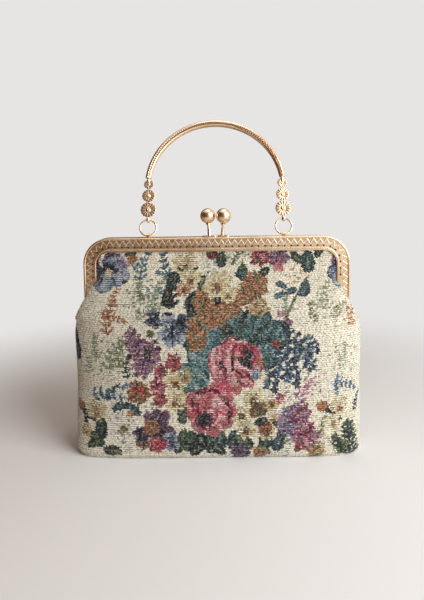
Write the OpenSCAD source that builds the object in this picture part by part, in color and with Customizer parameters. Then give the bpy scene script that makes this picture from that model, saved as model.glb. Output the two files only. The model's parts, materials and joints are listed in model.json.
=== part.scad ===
// Clasp-frame tapestry bag: hinged metal frame, kiss-lock balls, ringed arch handle, lined cloth body.
// Millimetres. Origin at the centre of the base, +Z up, front towards -Y.

/* [Bag] */
// Height from the floor to the top of the frame
bag_h = 162; // [145:1:185]
// Width at the side seams where the bag is widest
bag_w = 222; // [214:1:245]
// Depth of the filled bag
bag_d = 63; // [52:1:80]
// Width of the flat base
base_w = 211; // [190:1:214]
// Depth of the flat base
base_d = 59; // [48:1:66]
// Depth of the bag just under the hinge
throat_d = 49; // [40:1:60]
// How far the cloth swells forward of the frame at the foot of the yoke
yoke_swell = 14; // [8:0.5:18]

/* [Frame] */
// Outer width of the frame
frame_w = 205; // [190:1:210]
// Height of the frame above its hinge pins
frame_h = 48; // [44:1:60]
// Outer radius of the top corners
corner_r = 20; // [16:0.5:24]
// Width of the face strip
face_w = 10; // [9:0.5:12]
// Thickness of the pressed sheet
sheet_t = 1.2; // [0.9:0.1:1.5]
// Gap between the closed halves
parting = 0.3; // [0.2:0.05:0.5]
// Radius of the half-round bead along the outer edge
bead_r = 0.8; // [0.6:0.05:0.9]
// Radius of the hinge pins
pin_r = 1; // [0.8:0.05:1.2]
// Radial running clearance of the hinge pins
pin_fit = 0.05; // [0.03:0.01:0.08]

/* [Sewing] */
// Spacing of the sewing holes
hole_pitch = 5; // [4:0.25:6.5]
// Diameter of a sewing hole
hole_d = 1.5; // [1.3:0.1:1.8]
// Distance of the hole row from the outer edge
hole_row = 7.3; // [6.5:0.1:7.6]
// Diameter of the sewing thread
thread_d = 0.9; // [0.7:0.05:1]

/* [Clasp] */
// Diameter of a clasp ball
ball_d = 11.8; // [9:0.1:13]
// Height of the ball centres above the frame
ball_h = 16; // [14:0.5:20]
// Gap between the two balls
ball_gap = 0.4; // [0.3:0.05:0.8]
// Radius of a clasp stem at its foot
stem_r = 1.4; // [1.1:0.05:1.7]

/* [Rings] */
// Distance between the two rings
ring_span = 106; // [96:1:116]
// Mean radius of a ring
ring_r = 6.35; // [5.8:0.05:7.2]
// Radius of the ring wire
wire_r = 0.7; // [0.6:0.05:0.8]
// Lean of rings and handle towards the back, in degrees
lean = 16; // [8:1:24]

/* [Handle] */
// Rise of the arch's centre line above its two ends
arch_h = 46; // [36:0.5:54]
// Diameter of the arch bar
bar_d = 5.6; // [4.8:0.1:6.4]
// Radius of the largest rosette
rosette_r = 5.8; // [5.2:0.1:6.4]
// Petals of a rosette
petals = 12; // [8:1:16]

/* [Cloth] */
// Thickness of the tapestry
cloth_t = 1.6; // [1.2:0.1:1.9]
// Thickness of the lining
lining_t = 0.6; // [0.4:0.1:0.8]
// Thickness of the base board
board_t = 1.6; // [1:0.1:2.4]

/* [Hidden] */
$fn = 48;

gold = "#d9bb8e";
tapestry = "#cdbf9f";
satin = "#8c6a4a";
thread = "#c9a86c";

// Levels and half sizes that the rest is built from
top_z = bag_h;
pin_z = bag_h - frame_h;
hw = frame_w / 2;
cloth_gap = 0.3;
half_d = sheet_t + cloth_gap + cloth_t + cloth_gap + lining_t + 0.2;
face_y = -(parting / 2 + half_d);
flange_mid = (half_d + parting) / 2;
tab_r = half_d + parting / 2 - sheet_t - 0.4;
arm_z = pin_z - tab_r;

// Frame: rounded arch inset by d from the outer edge, in the XZ plane
module arch_2d(d) {
  translate([-(hw - d), arm_z]) square([2 * (hw - d), top_z - corner_r - arm_z]);
  translate([-(hw - corner_r), arm_z]) square([2 * (hw - corner_r), top_z - d - arm_z]);
  translate([hw - corner_r, top_z - corner_r]) circle(r = corner_r - d);
  translate([-(hw - corner_r), top_z - corner_r]) circle(r = corner_r - d);
}

module u_strip(inset, width, depth) {
  rotate([90, 0, 0]) linear_extrude(height = depth) difference() {
    arch_2d(inset);
    translate([0, -1]) arch_2d(inset + width);
    translate([-(hw - inset - width), arm_z - 2]) square([2 * (hw - inset - width), 6]);
  }
}

// Half-round bead along the strip, its centre line inset from the outer edge
module u_bead(inset, r) {
  long = hw - corner_r;
  translate([-long, 0, top_z - inset]) rotate([0, 90, 0]) cylinder(r = r, h = 2 * long);
  for (side = [0, 1]) mirror([side, 0, 0]) {
    translate([long, 0, top_z - corner_r]) rotate([90, 0, 0])
      rotate_extrude(angle = 90) translate([corner_r - inset, 0]) circle(r = r);
    translate([hw - inset, 0, pin_z]) cylinder(r = r, h = top_z - corner_r - pin_z);
  }
}

// Sewing holes: distance s runs along the row from the middle of the top bar to the right arm
row_r = corner_r - hole_row;
row_bar = hw - corner_r;
row_arc = row_r * PI / 2;
tuck_rise = 18;
tuck_z = pin_z + tuck_rise;
// The last hole may lie this far past the end of the tuck
row_over = 1;
row_len = row_bar + row_arc + top_z - corner_r - tuck_z + row_over;
holes = floor(row_len / hole_pitch - 0.5) + 1;

function row_at(s) =
  s < row_bar ? [s, 0, top_z - hole_row] :
  s < row_bar + row_arc ?
    let (a = (s - row_bar) / row_r * 180 / PI)
    [row_bar + row_r * sin(a), 0, top_z - corner_r + row_r * cos(a)] :
  [hw - hole_row, 0, top_z - corner_r - (s - row_bar - row_arc)];
function hole_at(k) = row_at((k + 0.5) * hole_pitch);

module sewing_holes() {
  for (side = [0, 1]) mirror([side, 0, 0]) for (k = [0:holes - 1])
    translate(hole_at(k)) rotate([90, 0, 0]) cylinder(d = hole_d, h = 4 * half_d, center = true, $fn = 24);
}

module half_shell() {
  difference() {
    union() {
      translate([0, face_y + sheet_t, 0]) u_strip(0, face_w, sheet_t);
      translate([0, -parting / 2, 0]) u_strip(0, sheet_t, half_d);
      translate([0, face_y, 0]) u_bead(bead_r + 0.2, bead_r);
      translate([0, face_y, 0]) u_bead(face_w - 0.8, 0.45);
    }
    sewing_holes();
  }
}

// Hinge: the front tabs lie in the rim wall, the rear tabs just inside them
tab_gap = 0.1;
tab_l = 5;
rear_tab_x = hw - 2 * sheet_t - tab_gap;

module x_disc(x, r, t) {
  translate([x, 0, pin_z]) rotate([0, 90, 0]) cylinder(r = r, h = t);
}

module front_frame() color(gold) difference() {
  union() {
    half_shell();
    for (side = [0, 1]) mirror([side, 0, 0]) {
      x_disc(hw - sheet_t, tab_r, sheet_t);
      translate([hw - sheet_t, face_y + sheet_t / 2, pin_z - tab_r / 2])
        cube([sheet_t, half_d - sheet_t / 2 + parting / 2, tab_r * 1.4]);
    }
  }
  x_disc(-hw - 1, pin_r + pin_fit, frame_w + 2);
}

module rear_frame() color(gold) difference() {
  union() {
    difference() {
      mirror([0, 1, 0]) half_shell();
      for (side = [0, 1]) mirror([side, 0, 0])
        translate([hw - sheet_t - 0.01, -1, pin_z - 2 * tab_r])
          cube([sheet_t + 2, half_d - sheet_t + 1 + parting / 2, 3 * tab_r + 0.6]);
    }
    for (side = [0, 1]) mirror([side, 0, 0]) {
      x_disc(rear_tab_x, tab_r, sheet_t);
      translate([rear_tab_x, parting / 2, pin_z]) cube([sheet_t, tab_r - parting / 2, tab_r + tab_l]);
      translate([rear_tab_x, parting / 2, pin_z + tab_r + 1.2])
        cube([1.5 * sheet_t, half_d - sheet_t / 2, tab_l - 0.5]);
    }
  }
  x_disc(-hw - 1, pin_r + pin_fit, frame_w + 2);
}

rivet_head = 0.8;

module rivet() color(gold) {
  x_disc(rear_tab_x - tab_gap - rivet_head / 2, pin_r, 2 * sheet_t + 2 * tab_gap + 0.8 * rivet_head);
  x_disc(rear_tab_x - tab_gap - rivet_head, pin_r + 0.9, rivet_head);
  x_disc(hw, pin_r + 1.1, rivet_head * 0.6);
  translate([hw + rivet_head * 0.6, 0, pin_z]) rotate([0, 90, 0])
    cylinder(r1 = pin_r + 1.1, r2 = pin_r + 0.3, h = rivet_head * 0.4);
}
module right_rivet() rivet();
module left_rivet() mirror([1, 0, 0]) rivet();

// Clasp: each stem leans over from its own half, so that the balls pass and catch side by side
module rod(p, q, r1, r2) {
  v = q - p;
  translate(p) rotate([0, acos(v[2] / norm(v)), atan2(v[1], v[0])]) cylinder(r1 = r1, r2 = r2, h = norm(v));
}

ball_r = ball_d / 2;
foot_t = 0.9;
foot_w = half_d - 0.8;
foot_l = 11;
collar_t = 0.9;
spigot_l = 3;
ball_c = [-(ball_r + ball_gap / 2), 0.8, top_z + ball_h];
stem_foot = [-(ball_r - 0.9), -flange_mid, top_z + foot_t / 2];
stem_dir = (ball_c - stem_foot) / norm(ball_c - stem_foot);
neck_end = ball_c - stem_dir * (ball_r + collar_t);

module clasp_stem() color(gold) {
  translate([stem_foot[0], -flange_mid, top_z]) linear_extrude(height = foot_t) {
    square([foot_l - foot_w, foot_w], center = true);
    translate([(foot_l - foot_w) / 2, 0]) circle(d = foot_w);
    translate([-(foot_l - foot_w) / 2, 0]) circle(d = foot_w);
  }
  rod(stem_foot, neck_end + stem_dir * 0.2, stem_r, stem_r * 0.72);
  rod(neck_end, neck_end + stem_dir * collar_t, stem_r + 0.5, stem_r + 0.5);
  rod(neck_end, neck_end + stem_dir * (collar_t + spigot_l), stem_r * 0.7, stem_r * 0.7);
}
module clasp_ball() color(gold) difference() {
  translate(ball_c) sphere(r = ball_r);
  rod(neck_end, neck_end + stem_dir * (collar_t + spigot_l + 0.3), stem_r * 0.7 + 0.05, stem_r * 0.7 + 0.05);
}
module front_clasp_stem() clasp_stem();
module front_clasp_ball() clasp_ball();
module rear_clasp_stem() rotate([0, 0, 180]) clasp_stem();
module rear_clasp_ball() rotate([0, 0, 180]) clasp_ball();

// Ears, rings and handle share the pivot line through the ear holes
ring_play = 0.25;
ear_x = ring_span / 2;
ear_y = flange_mid;
ear_bore = wire_r + ring_play;
ear_r = ear_bore + 1.1;
ear_w = 2;
ear_z = top_z + ear_bore + 0.05;

module right_ear() color(gold) difference() {
  union() {
    translate([ear_x - ear_w / 2, ear_y, ear_z]) rotate([0, 90, 0]) cylinder(r = ear_r, h = ear_w);
    translate([ear_x - ear_w / 2, ear_y - ear_r * 0.8, top_z]) cube([ear_w, ear_r * 1.6, ear_z - top_z]);
  }
  translate([ear_x - ear_w, ear_y, ear_z]) rotate([0, 90, 0]) cylinder(r = ear_bore, h = 2 * ear_w);
  translate([0, 0, top_z - 5]) cube([4 * ear_x, 100, 10], center = true);
}
module left_ear() mirror([1, 0, 0]) right_ear();

module leaning() {
  translate([0, ear_y, ear_z]) rotate([-lean, 0, 0]) children();
}

module right_ring() color(gold) leaning()
  translate([ear_x, 0, ring_r]) rotate([90, 0, 0]) rotate_extrude() translate([ring_r, 0]) circle(r = wire_r);
module left_ring() mirror([1, 0, 0]) right_ring();

// Handle: distances up the lean from the ear pivot
eye_s = 2 * ring_r;
eye_w = 3.6;
eye_bore = wire_r + ring_play + 0.2;
eye_r = eye_bore + 1.3;
mid_r = rosette_r * 0.84;
small_r = rosette_r * 0.63;
large_s = eye_s + eye_r + rosette_r - 0.25;
mid_s = large_s + rosette_r + mid_r + 0.75;
small_s = mid_s + mid_r + small_r + 0.95;
spine_w = 2.4;
spine_t = 1.4;
tang_r = bar_d * 0.24;
tang_l = 6;
arch_x = ear_x + 0.4;
arch_r = (arch_x * arch_x + arch_h * arch_h) / (2 * arch_h);
arch_a = asin((arch_r - arch_h) / arch_r);
arch_s = small_s + small_r + 1.5;
arch_c = arch_s + arch_h - arch_r;

// Arch ring petals cut by radial grooves, with a dished boss in the middle, facing the front
module rosette(r) rotate([90, 0, 0]) {
  tube = r * 0.34;
  difference() {
    union() {
      cylinder(r = r * 0.8, h = tube * 0.8);
      translate([0, 0, tube * 0.25]) rotate_extrude() translate([r - tube, 0]) circle(r = tube);
    }
    translate([0, 0, -2 * r]) cylinder(r = 2 * r, h = 2 * r);
    for (k = [0:petals - 1]) rotate([0, 0, (k + 0.5) * 360 / petals]) {
      translate([r * 0.46, 0, tube * 1.25]) rotate([0, 90, 0]) cylinder(r = r * 0.065, h = r, $fn = 24);
      translate([r * 1.03, 0, -1]) cylinder(r = r * 0.1, h = r, $fn = 24);
    }
    translate([0, 0, tube * 1.5]) sphere(r = r * 0.26);
  }
}

module right_rosette_strip() color(gold) leaning() difference() {
  union() {
    translate([ear_x - eye_w / 2, 0, eye_s]) rotate([0, 90, 0]) cylinder(r = eye_r, h = eye_w);
    translate([ear_x, 0, large_s]) rosette(rosette_r);
    translate([ear_x, 0, mid_s]) rosette(mid_r);
    translate([ear_x, 0, small_s]) rosette(small_r);
    translate([ear_x - spine_w / 2, -0.5, eye_s + eye_r - 0.6])
      cube([spine_w, spine_t + 0.5, small_s - eye_s - eye_r + 0.6 + small_r * 0.5]);
    translate([arch_x, 0, arch_s]) rotate([0, -arch_a, 0]) translate([0, 0, -small_r * 1.1])
      cylinder(r = tang_r, h = small_r * 1.1 + tang_l);
  }
  translate([ear_x - eye_w, 0, eye_s]) rotate([0, 90, 0]) cylinder(r = eye_bore, h = 2 * eye_w);
}
module left_rosette_strip() mirror([1, 0, 0]) right_rosette_strip();

module handle_arch() color(gold) leaning() difference() {
  translate([0, 0, arch_c]) rotate([90, 0, 0]) rotate([0, 0, arch_a])
    rotate_extrude(angle = 180 - 2 * arch_a) translate([arch_r, 0]) circle(d = bar_d);
  for (side = [0, 1]) mirror([side, 0, 0])
    translate([arch_x, 0, arch_s]) rotate([0, -arch_a, 0])
      translate([0, 0, -1]) cylinder(r = tang_r + 0.05, h = tang_l + 1.3);
}

// Stitching: one staple of thread over every second pair of holes
thread_y = face_y - thread_d / 2;
module staple(p, q) {
  v = (q - p) / norm(q - p);
  rod(p - v * thread_d * 0.5, q + v * thread_d * 0.5, thread_d / 2, thread_d / 2);
  for (e = [p, q]) translate(e) rotate([-90, 0, 0])
    cylinder(d = thread_d * 0.8, h = -thread_y - parting / 2 - 0.2, $fn = 24);
}
module stitching() color(thread) translate([0, thread_y, 0]) {
  staple([-hole_pitch / 2, 0, top_z - hole_row], [hole_pitch / 2, 0, top_z - hole_row]);
  for (side = [0, 1]) mirror([side, 0, 0]) for (k = [1:2:holes - 2]) staple(hole_at(k), hole_at(k + 1));
}
module front_stitching() stitching();
module rear_stitching() mirror([0, 1, 0]) stitching();

// Cloth: every piece is a slab between two grids of points, rows going down and columns left to right
cols = 30;
edge_gap = 0.7;
open_x = hw - face_w - edge_gap;
tuck_in = 2;
tuck = sheet_t + tuck_in;
yoke_rise = 10;
yoke_end = pin_z + yoke_rise;
arm_gap = 1;
fold_mid = arm_z - arm_gap;
panel_drop = 10;
panel_top = pin_z - panel_drop;
shoulder_in = 7.5;
lift_w = 8;
// The lower ends of the arms sweep this far round the pins when the frame opens
sweep_r = sqrt(face_y * face_y + tab_r * tab_r);
side_top = pin_z - sweep_r - arm_gap;
lining_d = cloth_t + cloth_gap;

function flat(rows) = [for (r = rows) each r];
module slab(front, back) {
  m = len(front) - 1;
  n = len(front[0]) - 1;
  w = n + 1;
  o = (m + 1) * w;
  faces = concat(
    [for (j = [0:m - 1], i = [0:n - 1]) each let (a = j * w + i)
      i < n / 2 ? [[a, a + 1, a + w], [a + 1, a + w + 1, a + w]] :
      [[a, a + 1, a + w + 1], [a, a + w + 1, a + w]]],
    [for (j = [0:m - 1], i = [0:n - 1]) each let (a = o + j * w + i)
      i < n / 2 ? [[a, a + w, a + 1], [a + 1, a + w, a + w + 1]] :
      [[a, a + w + 1, a + 1], [a, a + w, a + w + 1]]],
    [for (i = [0:n - 1]) each [[i, o + i, o + i + 1], [i, o + i + 1, i + 1]]],
    [for (i = [0:n - 1]) each let (a = m * w + i) [[a, a + 1, o + a + 1], [a, o + a + 1, o + a]]],
    [for (j = [0:m - 1]) each let (a = j * w) [[o + a, a, a + w], [o + a, a + w, o + a + w]]],
    [for (j = [0:m - 1]) each let (a = j * w + n) [[a, o + a, o + a + w], [a, o + a + w, a + w]]]
  );
  polyhedron(points = concat(flat(front), flat(back)), faces = faces, convexity = 6);
}

function signed_pow(v, p) = sign(v) * pow(abs(v), p);
function ring_row(a, b, n, z) = [for (i = [0:cols]) let (t = 180 * i / cols)
  [-a * signed_pow(cos(t), 2 / n), -b * pow(sin(t), 2 / n), z]];

// Half width, half depth, squareness and height of the bag, from under the hinge to the base
bag_rows = [
  [bag_w / 2 - shoulder_in, throat_d / 2, 2.3, panel_top],
  [bag_w / 2 - 1.2, throat_d * 0.35 + bag_d * 0.15, 2.4, pin_z - 17],
  [bag_w / 2, throat_d * 0.22 + bag_d * 0.28, 2.6, pin_z - 27],
  [bag_w / 2 - 0.6, throat_d * 0.1 + bag_d * 0.4, 2.8, pin_z * 0.62],
  [bag_w / 2 - 2, bag_d * 0.49, 3, pin_z * 0.45],
  [bag_w * 0.24 + base_w * 0.26, bag_d * 0.5, 3.4, pin_z * 0.28],
  [base_w / 2 + 2.2, bag_d * 0.495, 4.2, pin_z * 0.12],
  [base_w / 2 + 0.6, base_d / 2 + 0.6, 4.8, 4],
  [base_w / 2 - 1.8, base_d / 2 - 1.8, 5, -0.6]
];
function edge_lift(x) = let (t = max(0, min(1, (abs(x) - open_x) / lift_w)))
  (side_top - panel_top) * t * t * (3 - 2 * t);
function lifted(row) = [for (p = row) [p[0], p[1], p[2] + edge_lift(p[0])]];
function bag_grid(d, floor_z) = let (last = len(bag_rows) - 1) concat(
  [for (k = [0:last]) let (r = bag_rows[k], row = ring_row(r[0] - d, r[1] - d, r[2], max(r[3], floor_z)))
    k == 0 ? lifted(row) : row],
  [[for (p = ring_row(bag_rows[last][0] - d, 1, 5, max(bag_rows[last][3], floor_z))) [p[0] * 0.985, 0, p[2]]]]
);

module panel() color(tapestry) difference() {
  slab(bag_grid(0, -0.6), bag_grid(cloth_t, cloth_t));
  translate([0, 0, -10]) cube([2 * bag_w, 2 * bag_w, 20], center = true);
}
module front_panel() panel();
module rear_panel() mirror([0, 1, 0]) panel();

board_z = cloth_t + 0.2;
lining_z = board_z + board_t + 0.2;
module lining() color(satin)
  slab(bag_grid(lining_d, lining_z), bag_grid(lining_d + lining_t, lining_z + lining_t));
module front_lining() lining();
module rear_lining() mirror([0, 1, 0]) lining();

// Yoke: cloth tucked behind the face strip, swelling forward below the top bar
yoke_y = face_y + sheet_t + cloth_gap;
swell_z = top_z - face_w - edge_gap;
yoke_rows = [
  top_z - tuck, top_z - face_w * 0.65, swell_z,
  swell_z * 0.66 + tuck_z * 0.34, swell_z * 0.33 + tuck_z * 0.67,
  tuck_z, (tuck_z + yoke_end) / 2, yoke_end
];
function edge_x(z) =
  z > top_z - corner_r ?
    hw - corner_r + sqrt(max(0, pow(corner_r - tuck, 2) - pow(z - top_z + corner_r, 2))) :
  z >= tuck_z ? hw - tuck : open_x;
function swell(x, z) = z >= swell_z || abs(x) >= open_x ? 0 :
  yoke_swell * pow((swell_z - z) / (swell_z - yoke_end), 1.3) * pow(1 - pow(abs(x) / open_x, 2.4), 1 / 2.4);
function yoke_row(z, d, drop) = let (e = edge_x(z), w = min(open_x, e - 0.8), n = cols - 2)
  [for (i = [-1:n + 1]) let (x = i < 0 ? -e : i > n ? e : -w * cos(180 * i / n))
    [x, yoke_y + d - swell(x, z), z - drop]];
function yoke_grid(d) = [for (z = yoke_rows) yoke_row(z, d, 0)];

module front_yoke() color(tapestry) slab(yoke_grid(0), yoke_grid(cloth_t));
module rear_yoke() mirror([0, 1, 0]) front_yoke();
module front_lining_yoke() color(satin) slab(yoke_grid(lining_d), yoke_grid(lining_d + lining_t));
module rear_lining_yoke() mirror([0, 1, 0]) front_lining_yoke();

// Fold: the bending cloth between yoke and panel, passing under the hinge at the sides
seam_gap = 0.3;
function off_seam(row) = [for (p = row) [p[0], min(p[1], -seam_gap), p[2]]];
fold_d = (yoke_swell - yoke_y + throat_d / 2) / 2;
function fold_grid(d) = [
  yoke_row(yoke_end, d, seam_gap),
  off_seam(ring_row(open_x - seam_gap - d, fold_d - d, 2.3, fold_mid - d * 0.75)),
  off_seam([for (p = lifted(ring_row(bag_rows[0][0] - d, bag_rows[0][1] - d, bag_rows[0][2], panel_top)))
    [p[0], p[1], p[2] + seam_gap]])
];
module front_fold() color(tapestry) slab(fold_grid(0), fold_grid(cloth_t));
module rear_fold() mirror([0, 1, 0]) front_fold();
module front_lining_fold() color(satin) slab(fold_grid(lining_d), fold_grid(lining_d + lining_t));
module rear_lining_fold() mirror([0, 1, 0]) front_lining_fold();

// Base board: a stiffener lying between panel and lining, clear of the rounded edge
board_end = 10.5;
board_side = 6.5;
board_r = 10;
module base_board() color("#6b5a45") {
  bx = base_w / 2 - board_end;
  by = base_d / 2 - board_side;
  translate([0, 0, board_z]) linear_extrude(height = board_t) {
    square([2 * bx, 2 * (by - board_r)], center = true);
    square([2 * (bx - board_r), 2 * by], center = true);
    for (sx = [-1, 1], sy = [-1, 1])
      translate([sx * (bx - board_r), sy * (by - board_r)]) circle(r = board_r);
  }
}

front_frame();
rear_frame();
left_rivet();
right_rivet();
front_clasp_stem();
front_clasp_ball();
rear_clasp_stem();
rear_clasp_ball();
left_ear();
right_ear();
left_ring();
right_ring();
handle_arch();
left_rosette_strip();
right_rosette_strip();
front_stitching();
rear_stitching();
front_panel();
rear_panel();
front_fold();
rear_fold();
front_yoke();
rear_yoke();
front_lining();
rear_lining();
front_lining_fold();
rear_lining_fold();
front_lining_yoke();
rear_lining_yoke();
base_board();
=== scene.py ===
"""Clasp-frame tapestry bag: looks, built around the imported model. Lengths are millimetres times MM."""

import json
import math

import bmesh
import bpy
import numpy as np
from mathutils import Matrix, Vector


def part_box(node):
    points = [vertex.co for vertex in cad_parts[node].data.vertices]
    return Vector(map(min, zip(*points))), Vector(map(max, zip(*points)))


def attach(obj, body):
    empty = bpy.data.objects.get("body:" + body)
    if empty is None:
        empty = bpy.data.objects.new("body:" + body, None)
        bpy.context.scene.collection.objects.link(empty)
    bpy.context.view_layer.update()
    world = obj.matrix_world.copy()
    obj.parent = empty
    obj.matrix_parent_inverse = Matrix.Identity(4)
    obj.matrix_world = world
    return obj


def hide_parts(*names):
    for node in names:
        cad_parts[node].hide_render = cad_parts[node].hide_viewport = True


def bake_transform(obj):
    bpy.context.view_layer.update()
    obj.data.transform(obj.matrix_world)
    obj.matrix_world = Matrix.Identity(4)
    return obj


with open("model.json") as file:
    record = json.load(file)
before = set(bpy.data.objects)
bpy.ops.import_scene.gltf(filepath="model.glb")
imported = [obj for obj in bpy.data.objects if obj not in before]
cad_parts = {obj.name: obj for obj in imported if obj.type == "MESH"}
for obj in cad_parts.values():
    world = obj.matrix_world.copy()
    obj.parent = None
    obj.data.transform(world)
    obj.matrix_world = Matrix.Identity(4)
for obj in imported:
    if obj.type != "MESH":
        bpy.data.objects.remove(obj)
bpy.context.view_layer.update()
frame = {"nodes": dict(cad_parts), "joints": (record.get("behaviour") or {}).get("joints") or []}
MM = 0.001

# Tapestry shell: a front and a rear piece cut from one floral jacquard, dyed weft on an ecru ground.
# They are sewn together down the sides and under the base. Each top edge is tucked behind its frame half,
# and below the sewing the cloth swells forward over the inner edges of the arms.
hinge = next(j for j in frame["joints"] if j["name"] == "front_half_hinge")
frame_low, frame_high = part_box("front_frame")
panel_low, panel_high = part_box("front_panel")
top_z = frame_high.z / MM
frame_half_w = frame_high.x / MM
pin_z = hinge["pos_m"][2] / MM
bag_half_w = panel_high.x / MM
bag_half_d = -panel_low.y / MM
corner_r = 20.0
face_w = 10.0
tuck = 3.2
cloth_t = 1.2
yoke_y = 2.85
yoke_swell = 14.0
throat_half_d = 24.5
base_half_w = 106.3
base_half_d = 28.5
open_x = frame_half_w - face_w - 0.7
swell_z = top_z - face_w - 0.7
yoke_end = pin_z + 10
pick_h = 1.6
pick_relief = 0.13
cloth_cols = 252
base_rows = 12
back_step = 6
back_yarn = "#8f846c"
plain_rows = 4
still_rows = 6
edge_hold = 6
seam_gap = 0.05
float_len = 2.5
arm_low = pin_z - 26
arm_full = pin_z - 8
arm_high = pin_z + 32
front_from = 5.0
front_full = 10.0
edge_follow = 0.3
outline_points = 601
base_narrow = 0.015
broad_sag = 0.45
drawn_sag = 0.35
gather_high = 0.35
gather_pitch = 10


def smooth_step(low, high, value):
    t = np.clip((value - low) / (high - low), 0, 1)
    return t * t * (3 - 2 * t)


def run_through(keys, values, at):
    """Smooth curve through the stations that never overshoots them."""
    rise = np.diff(values) / np.diff(keys)
    slope = np.zeros(len(values))
    before, after = rise[:-1], rise[1:]
    same = before * after > 0
    slope[1:-1][same] = 2 * before[same] * after[same] / (before[same] + after[same])
    slope[0], slope[-1] = rise[0], rise[-1]
    i = np.clip(np.searchsorted(keys, at, side="right") - 1, 0, len(keys) - 2)
    span = keys[i + 1] - keys[i]
    t = (at - keys[i]) / span
    start = (2 * t**3 - 3 * t**2 + 1) * values[i] + (t**3 - 2 * t**2 + t) * span * slope[i]
    return start + (3 * t**2 - 2 * t**3) * values[i + 1] + (t**3 - t**2) * span * slope[i + 1]


def tucked_edge(z):
    arc = (corner_r - tuck) ** 2 - (z - top_z + corner_r) ** 2
    if z > top_z - corner_r:
        return frame_half_w - corner_r + math.sqrt(max(0, arc))
    return frame_half_w - tuck


def yoke_depth(z):
    return yoke_y + yoke_swell * max(0, (swell_z - z) / (swell_z - yoke_end)) ** 1.3


# Each station down the cloth: half width, tucked half width, depth, squareness, edge depth, height
stations = [
    (open_x, tucked_edge(z), yoke_depth(z), 2.4, yoke_y, z)
    for z in (top_z - tuck, top_z - 6.5, swell_z, top_z - 17, top_z - 22, pin_z + 18)
]
stations += [
    (open_x, open_x + 2.2, yoke_depth(pin_z + 14), 2.5, yoke_y, pin_z + 14),
    (open_x, open_x, yoke_depth(yoke_end), 2.8, yoke_y - 0.3, yoke_end),
    (open_x, open_x, (yoke_depth(yoke_end) + throat_half_d) / 2, 3.0, 0.3, pin_z - 3.75),
    (bag_half_w - 7.5, bag_half_w - 7.5, throat_half_d, 2.7, 0, pin_z - 10),
]
stations += [
    (w, w, d, n, 0, z)
    for w, d, n, z in (
        (bag_half_w - 1.2, throat_half_d * 0.7 + bag_half_d * 0.3, 2.6, pin_z - 17),
        (bag_half_w, throat_half_d * 0.44 + bag_half_d * 0.56, 2.6, pin_z - 27),
        (bag_half_w - 0.6, throat_half_d * 0.2 + bag_half_d * 0.8, 2.8, pin_z * 0.62),
        (bag_half_w - 1.6, bag_half_d * 0.98, 3.0, pin_z * 0.45),
        (bag_half_w - 1.8, bag_half_d, 3.4, pin_z * 0.28),
        (base_half_w + 2.0, bag_half_d * 0.99, 4.4, pin_z * 0.12),
        (base_half_w + 1.3, base_half_d + 1.4, 5.6, 4.0),
        (base_half_w - 0.4, base_half_d - 0.8, 6.0, 0.35),
    )
]
stations = np.array(stations)
steps_down = np.hypot(np.diff(stations[:, 2]), np.diff(stations[:, 5]))
station_at = np.concatenate([[0], np.cumsum(steps_down)])
# Over the arms the cloth swells to these half widths, at heights from the hinge
right_drop = 4.0
over_arms = np.array([(-19, 0), (-15, -1.2), (-11, -2.6), (-7.4, -4.6), (-3, -6.7), (0.3, -8.6), (4, -11),
                      (8, -13.4), (14, -15.8), (22, -18), (32, -19.2), (50, -19.2)])


def cloth_rows(step, cols, inset, base):
    """Rows of points down the front wall and under the base, with each row's length and distance down."""
    down = np.arange(0, station_at[-1], step)
    shape = [run_through(station_at, stations[:, k], down) for k in range(6)]
    around = np.linspace(0, math.pi, outline_points)
    cos, sin = np.cos(around), np.sin(around)
    share = np.linspace(0, 1, cols + 1)
    rows, lengths = [], []
    for w, edge, d, n, edge_d, z in zip(*shape):
        w, edge, d = w - inset, edge - inset * edge_follow, d - inset
        edge_d = max(edge_d - inset, 0.0) if edge_d > 1 else edge_d
        x = -w * np.sign(cos) * np.abs(cos) ** (2 / n)
        y = -(edge_d + (d - edge_d) * sin ** (2 / n))
        if arm_low < z < arm_high:
            front = smooth_step(front_from, front_full, -y) * smooth_step(arm_low, arm_full, z)
            for end, drop in ((-1, 0.0), (1, right_drop)):
                reach = bag_half_w - inset + float(np.interp(z - pin_z + drop, *over_arms.T))
                part = x * end > 0
                swell = 0.0
                for _ in range(3):
                    swell += max(0, reach - np.max(x[part] * end * (1 + swell * front[part]))) / w
                x[part] *= 1 + swell * front[part]
        x = np.concatenate([[-max(edge, w)], x, [max(edge, w)]])
        y = np.concatenate([[-edge_d], y, [-edge_d]])
        along = np.concatenate([[0], np.cumsum(np.hypot(np.diff(x), np.diff(y)) + 1e-9)])
        at = share * along[-1]
        x, y = np.interp(at, along, x), np.interp(at, along, y)
        rows.append(np.stack([x, y, np.full(cols + 1, z)], 1))
        lengths.append(along[-1])
    last = rows[-1]
    floor_z = last[0, 2]
    for k in range(1, base + 1):
        rows.append(last * (1 - base_narrow * k / base, 1 - k / base, 0) + (0, 0, floor_z))
        lengths.append(lengths[-1])
    reach = last[cols // 2, 1]
    under = down[-1] - reach * np.arange(1, base + 1) / base
    return np.array(rows), np.array(lengths), np.concatenate([down, under])


def full_turn(count):
    return np.linspace(0, 2 * math.pi, count, endpoint=False)


def outward(rows):
    normal = np.cross(np.gradient(rows, axis=0), np.gradient(rows, axis=1))
    return normal / np.maximum(np.linalg.norm(normal, axis=2, keepdims=True), 1e-9)


def yarn(code):
    """Hex sRGB colour as linear light."""
    value = np.array([int(code[i : i + 2], 16) for i in (1, 3, 5)]) / 255
    return np.where(value <= 0.04045, value / 12.92, ((value + 0.055) / 1.055) ** 2.4)


def tint(code):
    return (*yarn(code), 1.0)


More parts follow.
